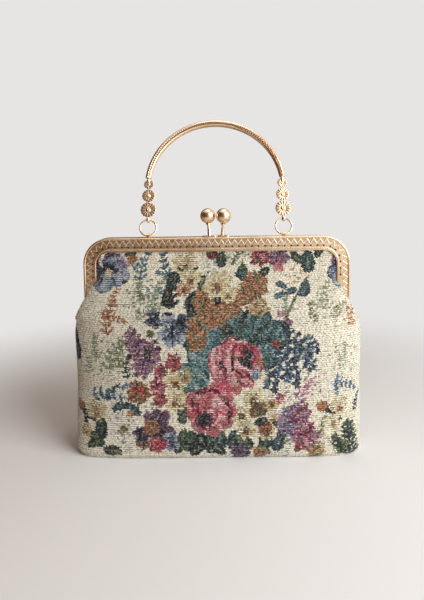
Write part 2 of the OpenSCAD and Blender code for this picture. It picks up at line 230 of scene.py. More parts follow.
UP = -math.pi / 2
DOWN = math.pi / 2
YARNS = {
    "ecru": "#dfdac9", "cream": "#f1efe6", "straw": "#cbbfa3", "olive": "#878c66", "moss": "#5e6f55",
    "forest": "#2f423b", "teal": "#43666a", "sea": "#86a39d", "blue": "#5a7d92", "sky": "#b6bfce",
    "navy": "#3b445b", "lilac": "#9196b0", "plum": "#634660", "mauve": "#a5829b", "rose": "#ba6272",
    "blush": "#e3abb3", "wine": "#783747", "coral": "#bc625b", "rust": "#a0664a", "apricot": "#cd9c78",
    "ochre": "#b19a66", "lemon": "#e3d9ad", "brown": "#665442", "ink": "#2a2630", "sage": "#a1ad92",
    "mist": "#c3cab8", "haze": "#c9cfdb", "wheat": "#cdba86",
}
yarn_names = list(YARNS)
yarn_table = np.array([yarn(YARNS[n]) for n in yarn_names]) ** (1 / 2.2)


class Cartoon:
    """The weaver's cartoon: colours laid on the flat cloth, U across and V down, in millimetres."""

    def __init__(self, across, down, seed):
        self.draw = np.random.default_rng(seed)
        self.across = across + self.draw.uniform(-0.5, 0.5, across.shape)
        self.down = down + self.draw.uniform(-0.5, 0.5, down.shape)
        self.art = np.zeros(across.shape + (3,))
        self.art[:] = self.shade("ecru")
        self.dyed = np.zeros(across.shape, bool)

    def shade(self, name):
        return yarn_table[yarn_names.index(name)]

    def petal(self, u, v, length, width, turn, root, tip, rim=None):
        """One petal or leaf that grows from (u, v), dark at its root and light at its tip."""
        near = (np.abs(self.across - u) < length + width) & (np.abs(self.down - v) < length + width)
        du, dv = self.across[near] - u, self.down[near] - v
        along = (du * math.cos(turn) + dv * math.sin(turn)) / length
        aside = (dv * math.cos(turn) - du * math.sin(turn)) / (width / 2)
        fat = np.sqrt(np.clip(along, 0, 1) ** 0.8 * np.clip(1 - along, 0, 1)) * 2
        inside = (along > 0) & (along < 1) & (np.abs(aside) < fat)
        mix = np.clip(along * 1.15 - 0.25 * np.abs(aside), 0, 1)[:, None]
        colour = self.shade(root) * (1 - mix) + self.shade(tip) * mix
        if rim:
            edge = (np.abs(aside) > fat * 0.72) | (along > 0.88)
            colour[edge] = self.shade(rim)
        laid, dyed = self.art[near], self.dyed[near]
        laid[inside] = colour[inside]
        dyed[inside] = True
        self.art[near], self.dyed[near] = laid, dyed

    def ring_of(self, u, v, count, length, width, turn, root, tip, rim=None):
        for k in range(count):
            lean = turn + 2 * math.pi * k / count
            self.petal(u, v, length * self.draw.uniform(0.85, 1.08), width, lean, root, tip, rim)

    def spiral(self, u, v, r, turn, count):
        """Places that fill a disc evenly, with the direction of each from the middle."""
        for k in range(count):
            far = r * math.sqrt((k + 0.5) / count)
            lean = turn + k * 2.4
            yield k, u + far * math.cos(lean), v + far * 1.1 * math.sin(lean), lean

    def folds(self, u, v, r, shapes):
        """Petals, slits and lights of one flower, placed in shares of its radius."""
        for du, dv, long, wide, lean, *colours in shapes:
            self.petal(u + du * r, v + dv * r, long * r, wide * r, lean, *colours)

    def rose(self, u, v, r, turn, deep="wine", mid="rose", pale="blush"):
        """Cabbage rose: folded petals with dark slits, and a dark heart to one side."""
        self.ring_of(u, v, 9, r, r * 0.8, turn, mid, mid, pale)
        self.ring_of(u, v, 7, r * 0.8, r * 0.6, turn + 0.5, deep, mid, mid)
        self.ring_of(u + r * 0.5, v - r * 0.4, 7, r * 0.46, r * 0.4, turn, deep, deep, mid)
        self.folds(u, v, r, (
            (-0.72, -0.55, 1.1, 0.46, 1.42, pale, pale, mid), (-0.66, -0.4, 0.8, 0.12, 1.4, mid, mid),
            (-0.3, -0.85, 1.45, 0.56, 1.42, mid, pale, pale), (-0.22, -0.55, 0.9, 0.16, 1.5, pale, pale),
            (0.1, -0.6, 0.75, 0.3, 1.6, mid, pale, mid), (-0.45, -0.75, 0.6, 0.12, -0.5, deep, mid),
            (-0.5, -0.26, 0.85, 0.13, 1.16, "ink", deep), (-0.42, 0.02, 0.6, 0.1, 1.0, deep, deep),
            (0.1, -0.84, 0.42, 0.1, 2.0, deep, deep), (-0.05, -0.54, 0.72, 0.1, 1.57, deep, "ink"),
            (0.28, -0.62, 0.5, 0.22, 0.7, deep, "ink"), (0.46, -0.52, 0.34, 0.22, 1.4, "ink", "ink"),
            (0.14, -0.28, 0.62, 0.24, 0.58, "ink", "ink"), (0.74, -0.62, 0.8, 0.2, 1.3, mid, "coral"),
            (0.02, -0.06, 0.8, 0.2, 0.46, pale, pale), (0.05, 0.14, 0.85, 0.42, 0.75, mid, pale, mid),
            (-0.12, 0.3, 0.75, 0.4, 1.2, pale, mid, mid), (0.42, 0.22, 0.42, 0.12, 0.9, deep, deep),
            (0.0, 0.05, 0.55, 0.09, 0.8, deep, deep), (0.1, 0.5, 0.4, 0.1, 0.6, deep, mid),
        ))

    def poppy(self, u, v, r, turn, deep="wine", mid="rose", pale="blush"):
        """Open poppy: broad petals round a pale middle, with a black eye low on one side."""
        self.ring_of(u, v, 9, r * 1.04, r * 0.8, turn, deep, mid, mid)
        self.ring_of(u, v, 9, r * 0.96, r * 0.24, turn + 0.35, mid, pale)
        self.folds(u, v, r, (
            (-0.62, -0.6, 0.6, 0.2, -0.3, deep, deep), (-0.15, -0.72, 0.6, 0.2, 0.25, deep, deep, mid),
            (-0.3, -0.5, 1.15, 0.62, 0.5, pale, pale, mid), (-0.1, -0.2, 0.95, 0.6, 0.75, pale, pale, mid),
            (-0.1, -0.05, 0.85, 0.5, 1.25, pale, pale, mid), (-0.3, -0.38, 0.9, 0.12, 0.3, "cream", pale),
            (-0.05, -0.1, 0.8, 0.1, 0.5, mid, mid), (0.05, 0.15, 0.6, 0.09, 0.9, mid, mid),
            (0.44, -0.48, 0.55, 0.14, 0.98, deep, deep), (0.72, -0.1, 0.7, 0.14, 1.62, deep, deep),
            (-0.74, -0.4, 0.8, 0.12, 1.45, deep, mid), (-0.52, -0.3, 0.7, 0.12, 1.6, deep, deep),
            (-0.4, 0.1, 0.8, 0.34, -1.0, mid, "coral", mid), (-0.62, 0.55, 0.6, 0.12, 0.5, deep, mid),
        ))
        self.ring_of(u - r * 0.27, v + r * 0.42, 8, r * 0.4, r * 0.2, turn, "ink", deep)
        self.ring_of(u - r * 0.27, v + r * 0.4, 6, r * 0.26, r * 0.2, turn, "ink", "ink")

    def pansy(self, u, v, r, turn):
        """Pansy: a purple hood with a pale edge, lilac cheeks and lip, and a yellow eye."""
        self.folds(u, v, r, (
            (0.0, 0.0, 1.05, 1.0, turn - 0.75, "navy", "plum", "mauve"),
            (0.05, 0.0, 1.15, 1.15, turn + 0.2, "navy", "plum", "cream"),
            (0.05, -0.05, 1.02, 0.95, turn + 1.05, "navy", "mauve", "sky"),
            (0.05, -0.1, 0.7, 0.6, turn + 0.2, "navy", "sky", "lilac"),
            (0.0, 0.05, 1.05, 0.9, turn - 1.95, "navy", "lilac", "navy"),
            (0.05, 0.05, 1.05, 0.95, turn + 1.95, "lilac", "sky", "lilac"),
            (-0.05, 0.1, 1.0, 0.95, turn - 3.0, "lilac", "sky", "blue"),
            (0.7, 0.45, 0.24, 0.2, 0.3, "ink", "navy"), (-0.3, 0.3, 0.4, 0.12, 1.6, "ink", "navy"),
            (0.2, 0.3, 0.45, 0.1, 0.8, "navy", "navy"), (-0.4, 0.1, 0.5, 0.1, 2.7, "ink", "navy"),
            (0.0, -0.15, 0.42, 0.2, turn - 0.5, "ink", "ink"), (0.05, -0.1, 0.5, 0.26, 0.0, "ink", "ink"),
            (0.1, -0.2, 0.4, 0.2, turn + 0.6, "ink", "navy"),
        ))
        self.ring_of(u, v + r * 0.05, 5, r * 0.24, r * 0.2, turn, "lemon", "straw")

    def iris(self, u, v, r, turn, deep="navy", mid="lilac", pale="sky"):
        for lean in (-0.55, 0.0, 0.55):
            self.petal(u, v, r, r * 0.55, turn + lean, deep, mid, pale)
        for lean in (2.1, -2.1, math.pi):
            self.petal(u, v, r * 0.9, r * 0.72, turn + lean, deep, pale, mid)
        for lean in (2.4, -2.4, 2.9, 0.2, -0.4):
            self.petal(u, v, r * 0.75, r * 0.1, turn + lean, "ink", deep)

    def bloom(self, u, v, r, turn, pale="lemon", shade="wheat", heart="rust"):
        """Ruffled double flower with its heart hanging below the middle."""
        self.ring_of(u, v, 8, r, r * 0.6, turn, shade, pale, pale)
        self.ring_of(u, v - r * 0.1, 6, r * 0.7, r * 0.5, turn + 0.4, shade, pale, "cream")
        for lean in (-0.6, 0.0, 0.6):
            self.petal(u, v + r * 0.1, r * 0.6, r * 0.2, DOWN + lean, "brown", heart)
        for lean in (0.3, math.pi - 0.3):
            self.petal(u, v, r * 0.5, r * 0.15, lean, heart, shade)

    def marigold(self, u, v, r, turn, deep="rust", pale="apricot"):
        """Close head of small orange florets with leaf showing between them."""
        self.ring_of(u, v, 7, r * 1.05, r * 0.8, turn, "brown", "olive", deep)
        for k, at_u, at_v, lean in self.spiral(u, v, r, turn, 15):
            if k % 4 == 3:
                self.petal(at_u, at_v, r * 0.5, r * 0.24, lean * 1.7, "forest", "olive")
            else:
                self.ring_of(at_u, at_v, 4, r * 0.3, r * 0.22, lean, "brown" if k % 3 else deep, pale, deep)

    def cluster(self, u, v, r, turn, deep="plum", mid="mauve", pale="blush"):
        """Head of lilac: small four-petalled florets, some of them in shade."""
        self.ring_of(u, v, 6, r, r * 0.6, turn, deep, mid)
        for k, at_u, at_v, lean in self.spiral(u, v, r, turn, 16):
            tip = deep if k % 4 == 2 else mid
            self.ring_of(at_u, at_v, 4, r * 0.32, r * 0.22, lean, deep, tip, pale if k % 3 == 0 else tip)

    def spike(self, u, v, r, turn, deep="navy", mid="blue", pale="sky"):
        """Delphinium: florets that get smaller up a stem."""
        for k in range(10):
            t = k / 9
            bend = turn + 0.25 * math.sin(5 * t)
            aside = r * 0.36 * (1 - 0.5 * t) * (-1) ** k
            at_u = u + r * 2 * t * math.cos(bend) - aside * math.sin(turn)
            at_v = v + r * 2 * t * math.sin(bend) + aside * math.cos(turn)
            size = r * (0.42 - 0.2 * t)
            tip = mid if k % 2 else deep
            self.ring_of(at_u, at_v, 4, size, size * 0.7, k, deep, tip, pale if k % 3 == 1 else deep)

    def leaf(self, u, v, r, turn, deep="forest", pale="moss"):
        self.petal(u, v, r, r * 0.56, turn, deep, pale, deep)
        self.petal(u, v, r * 0.85, r * 0.09, turn, pale, "olive")

    def broad(self, u, v, r, turn, deep="forest", pale="teal"):
        self.petal(u, v, r, r * 0.72, turn, pale, pale, deep)
        for lean in (-0.3, 0.0, 0.3):
            self.petal(u, v, r * 0.85, r * 0.08, turn + lean, deep, "sea")

    def fern(self, u, v, r, turn, deep="forest", pale="moss"):
        for k in range(8):
            at_u, at_v = u + r * k / 9 * math.cos(turn), v + r * k / 9 * math.sin(turn)
            for lean in (-1.1, 1.1, 0.0):
                self.petal(at_u, at_v, r * (0.42 - 0.03 * k), r * 0.085, turn + lean, deep, pale)

    def sprig(self, u, v, r, turn, stem="moss", leaf="olive"):
        """Thin stem with pairs of small leaves and a bud at its end."""
        for k in range(5):
            t = k / 4
            bend = turn + 0.4 * (t - 0.5)
            at = u + r * t * math.cos(bend), v + r * t * math.sin(bend)
            self.petal(*at, r * 0.3, max(1.1, r * 0.06), bend, stem, stem)
            for side in (-0.9, 0.9):
                self.petal(*at, r * (0.34 - 0.14 * t), max(1.5, r * 0.1), bend + side, stem, leaf)

    def stroke(self, u, v, r, turn, bend, root="ink", tip="forest"):
        """Thin stem or shadow line that bends evenly along its length."""
        for k in range(5):
            lean = turn + bend * k / 4
            self.petal(u, v, r * 0.36, 1.9, lean, root, tip)
            u, v = u + r * 0.2 * math.cos(lean), v + r * 0.2 * math.sin(lean)

    def bud(self, u, v, r, turn, deep="rust", pale="apricot"):
        for lean in (-0.45, 0.45, 0.0):
            self.petal(u, v, r, r * 0.55, turn + lean, deep, pale, deep)

    def dust(self, u, v, r, turn, *names):
        """Loose scatter of tiny leaves."""
        for k, at_u, at_v, lean in self.spiral(u, v, r, turn, int(r * 2.4)):
            long = self.draw.uniform(1.6, 3.4)
            self.petal(at_u, at_v, long, 1.5, lean * 1.3, names[k % len(names)], names[0])

    def woven(self):
        """Draws each cell to the nearest dyed yarn. On the furrow rows dyed cells get painted shade, and the
        ground is tied by dark points.
        """
        dyed_rough, ground_rough, cell_rough, hue_rough = 0.07, 0.03, 0.05, 0.012
        yarn_share, painted_furrow_shade, fleck_shade = 0.5, 0.74, 0.6
        tie_every, tie_share, dash_from, dash_cells = 3, 0.75, 1.5, 5
        shape = self.dyed.shape
        row, col = np.indices(shape)
        furrow = row % 2 == 1
        pick = row // 2
        start = self.draw.integers(0, 6, shape[0] // 2 + 1)[pick]
        mixed = self.draw.normal(0, 1, (shape[0], shape[1] // 2 + 4))[row, (col + start) // 2]
        rough = np.where(self.dyed, dyed_rough, ground_rough)
        uneven = rough * mixed + self.draw.normal(0, cell_rough, shape)
        aim = self.art + uneven[:, :, None] + self.draw.normal(0, hue_rough, shape + (3,))
        apart = ((aim[:, :, None, :] - yarn_table[None, None]) ** 2).sum(3)
        chosen = yarn_table[apart.argmin(2)] * yarn_share + np.clip(aim, 0, 1) * (1 - yarn_share)
        point = furrow & ((col + start) % tie_every == 0) & (self.draw.random(shape) < tie_share)
        drift = self.draw.normal(0, 1, shape)
        run = sum(np.roll(drift, k, 1) for k in range(dash_cells)) / dash_cells**0.5
        dash = furrow & (run > dash_from)
        fleck = self.draw.random(shape)
        # painted shade: dyed cells on the furrow rows, where the picks dip, are darkened
        chosen[furrow & self.dyed] *= painted_furrow_shade
        dark = (point | dash) & ~self.dyed
        chosen[dark] = chosen[dark] * 0.62 + self.shade("brown") * 0.2
        light = self.dyed & ((point & (fleck < 0.8)) | (~furrow & (fleck < 0.1)))
        chosen[light] = chosen[light] * 0.6 + self.shade("ecru") * 0.38
        chosen[self.dyed & (fleck > 0.9)] *= fleck_shade
        return chosen**2.2


REPEAT_U = 262.0
REPEAT_V = 196.0
# Motifs in the order they are laid: kind, then each one's place, size, turn and yarns.
# Turns count from the right, or from U (up), D (down) and L (left). A stroke has its bend after the turn.
BOUQUET = """
dust -57 38 9 0 sage mist sea, -88 90 14 0 sage mist olive, -71 88 11 0 sage olive mist
dust -50 125 9 0 sage sea olive, -57 49 8 0 sage moss mist, 83 48 10 0 sage straw mist, 66 94 9 0 sea sage
dust 94 92 12 0 mist sage, 19 12 8 0 sage sea mist, -11 34 8 0 sage moss, -66 152 8 0 mist sage
dust 50 153 10 0 sea moss sky, 55 119 9 0 mauve blush plum, 68 110 8 0 mauve blush rose
dust 34 102 6 0 ochre lemon olive, -23 46 6 0 cream sky, 90 59 9 0 mist sage straw, -3 19 7 0 sky cream blue
dust 62 27 8 0 apricot ochre straw, 104 62 7 0 apricot ochre, -46 42 7 0 blue sky sea, -41 47 7 0 sage olive
dust 71 155 8 0 straw olive ochre
sprig -45 52 18 U sage sea, -53 46 13 U-0.5 moss sage, -42 41 12 -0.5 sea blue, -58 60 13 -0.6 sage moss
sprig -80 98 22 U+0.2 sage olive, -89 90 15 U-0.4 sage mist, -72 96 16 U olive sage, -97 102 14 U mist sage
sprig 82 54 19 U sage straw, 90 62 14 U+0.5 straw olive, 76 64 13 U-0.5 olive sage, 12 19 13 U+0.4 moss sage
sprig 8 15 10 U-0.5 sea sage, 63 90 15 U sage sea, 93 98 14 U mist sage, -32 107 11 U sage moss
sprig 61 121 15 U+0.3 mauve blush, 49 152 15 U sage moss, 76 148 13 U olive straw, -70 152 11 U sage mist
sprig -57 30 20 U blue blue, -64 21 9 -0.3 blue sea, -34 30 20 U-0.5 teal blue, -46 24 9 0.3 blue teal
sprig -77 51 13 U+0.1 apricot rust, -82 72 22 U+0.1 rust apricot, -85 59 17 0 rust apricot
leaf 54 38 9 L+0.5 navy blue, 53 42 9 -0.35 navy teal, 53 42 9 2.8 teal blue
sprig 54 56 11 U-0.2 sage sea
stroke 50 65 37 U+0.5 0 moss olive
leaf 67 45 13 U+0.15 navy teal, 62 43 7 -0.3 navy blue
bud 52 66 6 U+0.6 plum mauve, 49 60 6 U mauve blush
sprig -94 118 21 -0.2 blue blue, -82 121 13 U+0.4 teal blue, -71 112 9 -0.6 blue sky
sprig 89 118 12 U-0.2 blue sky, 86 110 17 0.1 blue blue, -66 103 13 U-0.2 forest brown
sprig 79 128 12 0.4 forest forest, -104 128 10 1.0 forest forest, 104 132 12 U+0.2 navy teal
leaf -70 10 9 -0.2 ink forest
sprig -32 52 26 U+0.05 ink forest
leaf -33 52 15 U-0.2 ink forest, -30 36 13 U-0.4 forest forest, -36 34 12 U+0.5 forest forest
leaf 4 21 13 U forest forest
bud -2 14 8 U-0.3 wine brown
leaf 20 32 14 U forest moss, 14 27 11 -0.2 forest teal, 32 29 11 -0.8 forest forest, -10 39 12 U forest moss
leaf 70 26 18 U forest teal, 66 18 12 U-0.8 forest moss, 76 14 10 U+0.6 forest forest
leaf -19 54 16 U+0.4 ink forest, -30 110 12 0.1 forest moss, -78 128 11 -0.5 navy teal
leaf -70 124 10 0.05 navy teal, -64 124 10 0.75 navy teal, -87 150 17 U forest forest
leaf -85 154 14 U-0.9 forest moss, -85 157 14 0.1 forest brown, -98 155 10 -0.4 forest moss
leaf -24 158 17 U+0.3 forest moss, -13 158 15 U ink forest, -18 152 14 U-0.9 forest moss
leaf 1 158 17 U forest teal, 9 156 15 U+0.3 forest teal, 24 157 15 U-0.6 forest moss
leaf 33 157 16 U+0.2 forest teal, 41 158 14 U+0.4 navy teal, -30 160 15 U-0.1 forest moss
leaf -6 160 16 U+0.2 forest moss, -21 161 13 U+0.9 ink forest, 5 161 13 U-0.8 ink teal
leaf -2 152 12 U-0.5 forest teal, 17 158 15 U-0.2 forest moss, 37 161 12 U-0.7 forest moss
leaf -28 151 11 U+0.4 forest moss, -26 137 12 U forest moss, -29 131 10 U+0.6 forest moss
fern 97 164 28 U forest moss, 93 161 18 U-0.6 forest olive
leaf -20 82 14 U-0.3 forest teal
broad 14 83 35 U-0.1, 24 83 34 U+0.35, 30 85 30 U+0.8, 9 82 26 U-0.7, 36 98 24 U forest teal
broad -3 99 26 U-0.7 teal sea, -7 109 27 U-1.1 teal sea, -12 88 15 U+0.5 teal blue, -4 78 16 U teal blue
leaf 8 74 10 U ink forest
marigold -4 50 12 0.3, -11 57 7 1.0
leaf -17 62 13 U ink forest
marigold -14 65 6 0.5
leaf -8 60 12 U+1.2 forest moss
marigold -15 71 8 0.9, -15 78 6 0.2, 1 60 8 0.1, 29 36 10 0.6 rust apricot, 33 52 7 0.4 apricot lemon
marigold 12 53 7 0.2 rust apricot, 23 44 7 0.2 rust apricot, -58 114 8 0.4 rust coral, -65 14 4 0.2
leaf 3 50 9 U ink navy
bloom -23 17 11 0.2 lemon ochre straw
stroke -30 20 16 0.7 -1.2 ink forest
bloom -19 30 9 0.9, -23 38 6 0.5 apricot rust, 2 34 12 0.4, 11 42 7 0.1, -31 106 9 0.2, -31 119 9 1.0
bloom -24 102 6 0.3 ochre olive, 26 118 8 0.5 lemon ochre brown, 17 130 8 1.3 lemon ochre brown
bloom 39 122 7 0.1 lemon ochre brown, 41 134 7 0.7 lemon ochre brown, 20 141 8 0.3 lemon olive rust
bloom 35 143 7 0.4 lemon ochre rust
marigold 29 127 6 0.3 brown rust, 34 140 5 0.3 rust coral
leaf 27 138 10 -0.5 ink forest
bloom -91 129 9 0.4 lemon ochre apricot
bud -106 131 8 U rust apricot
stroke -105 129 14 0.9 -0.8 ink forest
leaf -110 94 14 U+0.05 navy teal, -111 82 12 U-0.2 ink navy
sprig 104 69 15 U apricot rust
bud 76 130 8 U rust apricot
stroke 79 128 12 0.7 -0.3 ink forest
bloom -99 144 5 0.1 ochre straw ochre, 90 126 8 0.3 lemon straw apricot, 85 138 6 0.8 lemon straw ochre
bloom -70 138 13 0.3 cream ecru straw
bud -64 132 5 U apricot apricot
spike 53 90 10 U+0.1, 62 90 10 U, 46 103 10 U+0.1, 54 108 9 U+0.1, 38 112 9 U+0.1, 71 86 6 U, 66 98 7 U+0.2
bud 43 82 6 U wine coral
cluster -63 74 6 0, -59 82 8 0.2, -50 85 9 0.7, -55 95 8 0.2
leaf -51 89 8 U ink forest
bud -49 74 6 U moss olive
cluster -32 92 6 0.5 wine coral rose, -42 99 5 0.1 wine rose coral, -44 110 6 0.1 wine rose blush
cluster -42 119 5 0.4 wine coral rose, 34 12 8 0.3 wine rose blush, 48 13 8 0.3 plum mauve rose
bud 47 18 7 D rose blush
cluster 55 136 11 0.4 plum mauve lilac, 64 148 10 0.1 wine mauve blush, 61 130 7 0.2 wine mauve lilac
cluster 49 140 6 0.3 plum lilac mauve
rose 45 119 4 0.1
cluster 16 159 7 0.2 plum navy mauve
marigold 30 159 5 0.1, 71 160 6 0.1 ochre apricot
iris -45 61 8 U ink navy lilac
bud -35 63 8 U ink plum
iris -33 70 13 U+0.2 navy sky haze, -25 64 8 U+0.5 ink navy lilac, -44 141 16 U-0.1 ink plum mauve
marigold -49 139 6 0.2 rust coral, -54 150 6 0.6 wine apricot
iris -35 151 8 U navy lilac sky
cluster -45 153 6 0.2 wine coral plum
iris -57 146 7 U-0.5 ink plum navy
pansy -83 24 16 U, 99 24 14 U+0.2
cluster 95 14 6 0.4 plum mauve lilac
rose 12 95 21 0.3
poppy -5 126 19 0.1
bud 28 104 7 U blue sky
"""
TURNS = {"U": UP, "D": DOWN, "L": math.pi}


def motif_word(word):
    """A turn from one of the main directions, the name of a yarn, or a plain number."""
    if word[0] in TURNS:
        return TURNS[word[0]] + float(word[1:] or 0)
    return word if word.isalpha() else float(word)


def motifs():
    for line in BOUQUET.split("\n")[1:-1]:
        kind, _, places = line.partition(" ")
        for place in places.split(","):
            yield kind, *(motif_word(w) for w in place.split())


def tapestry_colours(across, down, seed, shift_u, shift_v):
    """Weaves the bouquet, which repeats over the cloth, as it falls on one cut."""
    cartoon = Cartoon(across, down, seed)
    margin = 30
    wide, deep = np.abs(across).max() + margin, down.max() + margin
    for name, u, v, size, turn, *colours in motifs():
        for ru in (-1, 0, 1):
            for rv in (-1, 0, 1):
                at_u, at_v = u + shift_u + ru * REPEAT_U, v + shift_v + rv * REPEAT_V
                if abs(at_u) < wide and -margin < at_v < deep:
                    getattr(cartoon, name)(at_u, at_v, size, turn, *colours)
    return cartoon.woven()


def add_node(tree, kind, inputs=None, **settings):
    """Adds one node. Its inputs are values, sockets to link, or nodes whose first output is linked."""
    node = tree.nodes.new(kind)
    for name, value in settings.items():
        setattr(node, name, value)
    for name, value in (inputs or {}).items():
        if isinstance(value, bpy.types.Node):
            value = value.outputs[0]
        if isinstance(value, bpy.types.NodeSocket):
            tree.links.new(value, node.inputs[name])
        else:
            node.inputs[name].default_value = value
    return node


def new_material(name):
    """An empty node material, ready for a shader."""
    material = bpy.data.materials.new(name)
    material.use_nodes = True
    material.node_tree.nodes.clear()
    return material, material.node_tree


def finish_material(tree, **inputs):
    shader = add_node(tree, "ShaderNodeBsdfPrincipled", {k.replace("_", " "): v for k, v in inputs.items()})
    add_node(tree, "ShaderNodeOutputMaterial", {"Surface": shader})


def reckon(tree, operation, *values, kind="ShaderNodeMath"):
    """One sum on numbers or, with the vector kind, on directions."""
    return add_node(tree, kind, dict(enumerate(values)), operation=operation)


def noise(tree, place, scale, detail):
    return add_node(tree, "ShaderNodeTexNoise", {"Vector": place, "Scale": scale, "Detail": detail})


def spread(tree, value, low, high, **limits):
    """Maps a value to a range."""
    inputs = {k.replace("_", " "): v for k, v in limits.items()}
    return add_node(tree, "ShaderNodeMapRange", {"Value": value, "To Min": low, "To Max": high, **inputs})


def relief(tree, height, strength, distance, **under):
    inputs = {"Height": height, "Strength": strength, "Distance": distance, **under}
    return add_node(tree, "ShaderNodeBump", inputs)


def blended(tree, share, base, shade, way="MIX"):
    inputs = {"Fac": share, "Color1": base, "Color2": shade}
    return add_node(tree, "ShaderNodeMixRGB", inputs, blend_type=way)


def floral_jacquard():
    """Weft floats in staggered picks. The dark gaps between them are binding points deepened by painted
    shade.
    """
    material, tree = new_material("floral jacquard")
    cut = add_node(tree, "ShaderNodeUVMap", uv_map="cut")
    dyed = add_node(tree, "ShaderNodeVertexColor", layer_name="yarn")
    # painted shade: the brick's dark mortar darkens the gaps between the floats, partly binding points
    floats = add_node(
        tree, "ShaderNodeTexBrick",
        {"Vector": cut, "Color1": (1, 1, 1, 1), "Color2": (0.88, 0.88, 0.88, 1),
         "Mortar": (0.34, 0.3, 0.26, 1), "Scale": 1.0, "Mortar Size": 0.13, "Mortar Smooth": 0.6,
         "Brick Width": float_len, "Row Height": pick_h},
        offset=0.5,
    )
    place = add_node(tree, "ShaderNodeSeparateXYZ", {"Vector": cut})
    # painted shade: a dark band along the trough of each furrow between the picks
    pick = reckon(tree, "PINGPONG", place.outputs[1], pick_h / 2)
    furrow = spread(tree, pick, 0.6, 1.0, From_Max=pick_h * 0.3)
    furrow.interpolation_type = "SMOOTHSTEP"
    fuzz = noise(tree, cut, 1.4, 3.0)
    worn = spread(tree, noise(tree, cut, 0.022, 2.0), 0.9, 1.1)
    woven = blended(tree, 0.4, dyed, floats, "MULTIPLY")
    bright = add_node(tree, "ShaderNodeRGBToBW", {"Color": dyed})
    # how strongly the painted furrow shade is laid, a little more on dark yarn
    ground = spread(tree, bright, 0.5, 0.4, From_Min=0.2, From_Max=0.6)
    furrow_shaded = blended(tree, ground, woven, furrow, "MULTIPLY")
    aged_with_painted_shade = blended(tree, 1.0, furrow_shaded, worn, "MULTIPLY")
    raised = relief(tree, floats, 0.5, 0.0003)
    hairy = relief(tree, fuzz, 0.25, 0.0002, Normal=raised)
    rough = spread(tree, fuzz, 0.8, 0.96)
    finish_material(
        tree, Base_Color=aged_with_painted_shade, Roughness=rough, Normal=hairy,
        Sheen_Weight=0.12, Sheen_Roughness=0.5, Specular_IOR_Level=0.2,
    )
    return material


def link_piece(name, mesh, material):
    piece = bpy.data.objects.new(name, mesh)
    bpy.context.scene.collection.objects.link(piece)
    if material:
        mesh.materials.append(material)
    return piece


def slow_sag(across, down):
    """Soft unevenness of hand-filled cloth, in millimetres."""
    broad = broad_sag * np.sin(across / 21 + 0.7) * np.sin(down / 26 + 1.1)
    drawn = drawn_sag * np.sin(across / 13 - down / 19) * smooth_step(150, 60, down)
    gather = gather_high * np.sin(across * 2 * math.pi / gather_pitch) * np.exp(-np.maximum(down - 8, 0) / 7)
    return (broad + drawn) * smooth_step(20, 70, down) + gather * smooth_step(6, 9, down)


def grid_quads(rows, wide):
    return [
        (j * wide + i, (j + 1) * wide + i, (j + 1) * wide + i + 1, j * wide + i + 1)
        for j in range(rows - 1)
        for i in range(wide - 1)
    ]


def shaped_mesh(name, points, faces, smooth):
    """A mesh from points in millimetres, with the faces that are shaded smooth."""
    mesh = bpy.data.meshes.new(name)
    mesh.from_pydata((points.reshape(-1, 3) * MM).tolist(), [], faces)
    mesh.polygons.foreach_set("use_smooth", smooth)
    return mesh


def lay_flat(mesh, flat):
    """Keeps where each point lay on the flat cloth."""
    corners = np.zeros(len(mesh.loops), int)
    mesh.loops.foreach_get("vertex_index", corners)
    mesh.uv_layers.new(name="cut").data.foreach_set("uv", flat[corners].ravel())


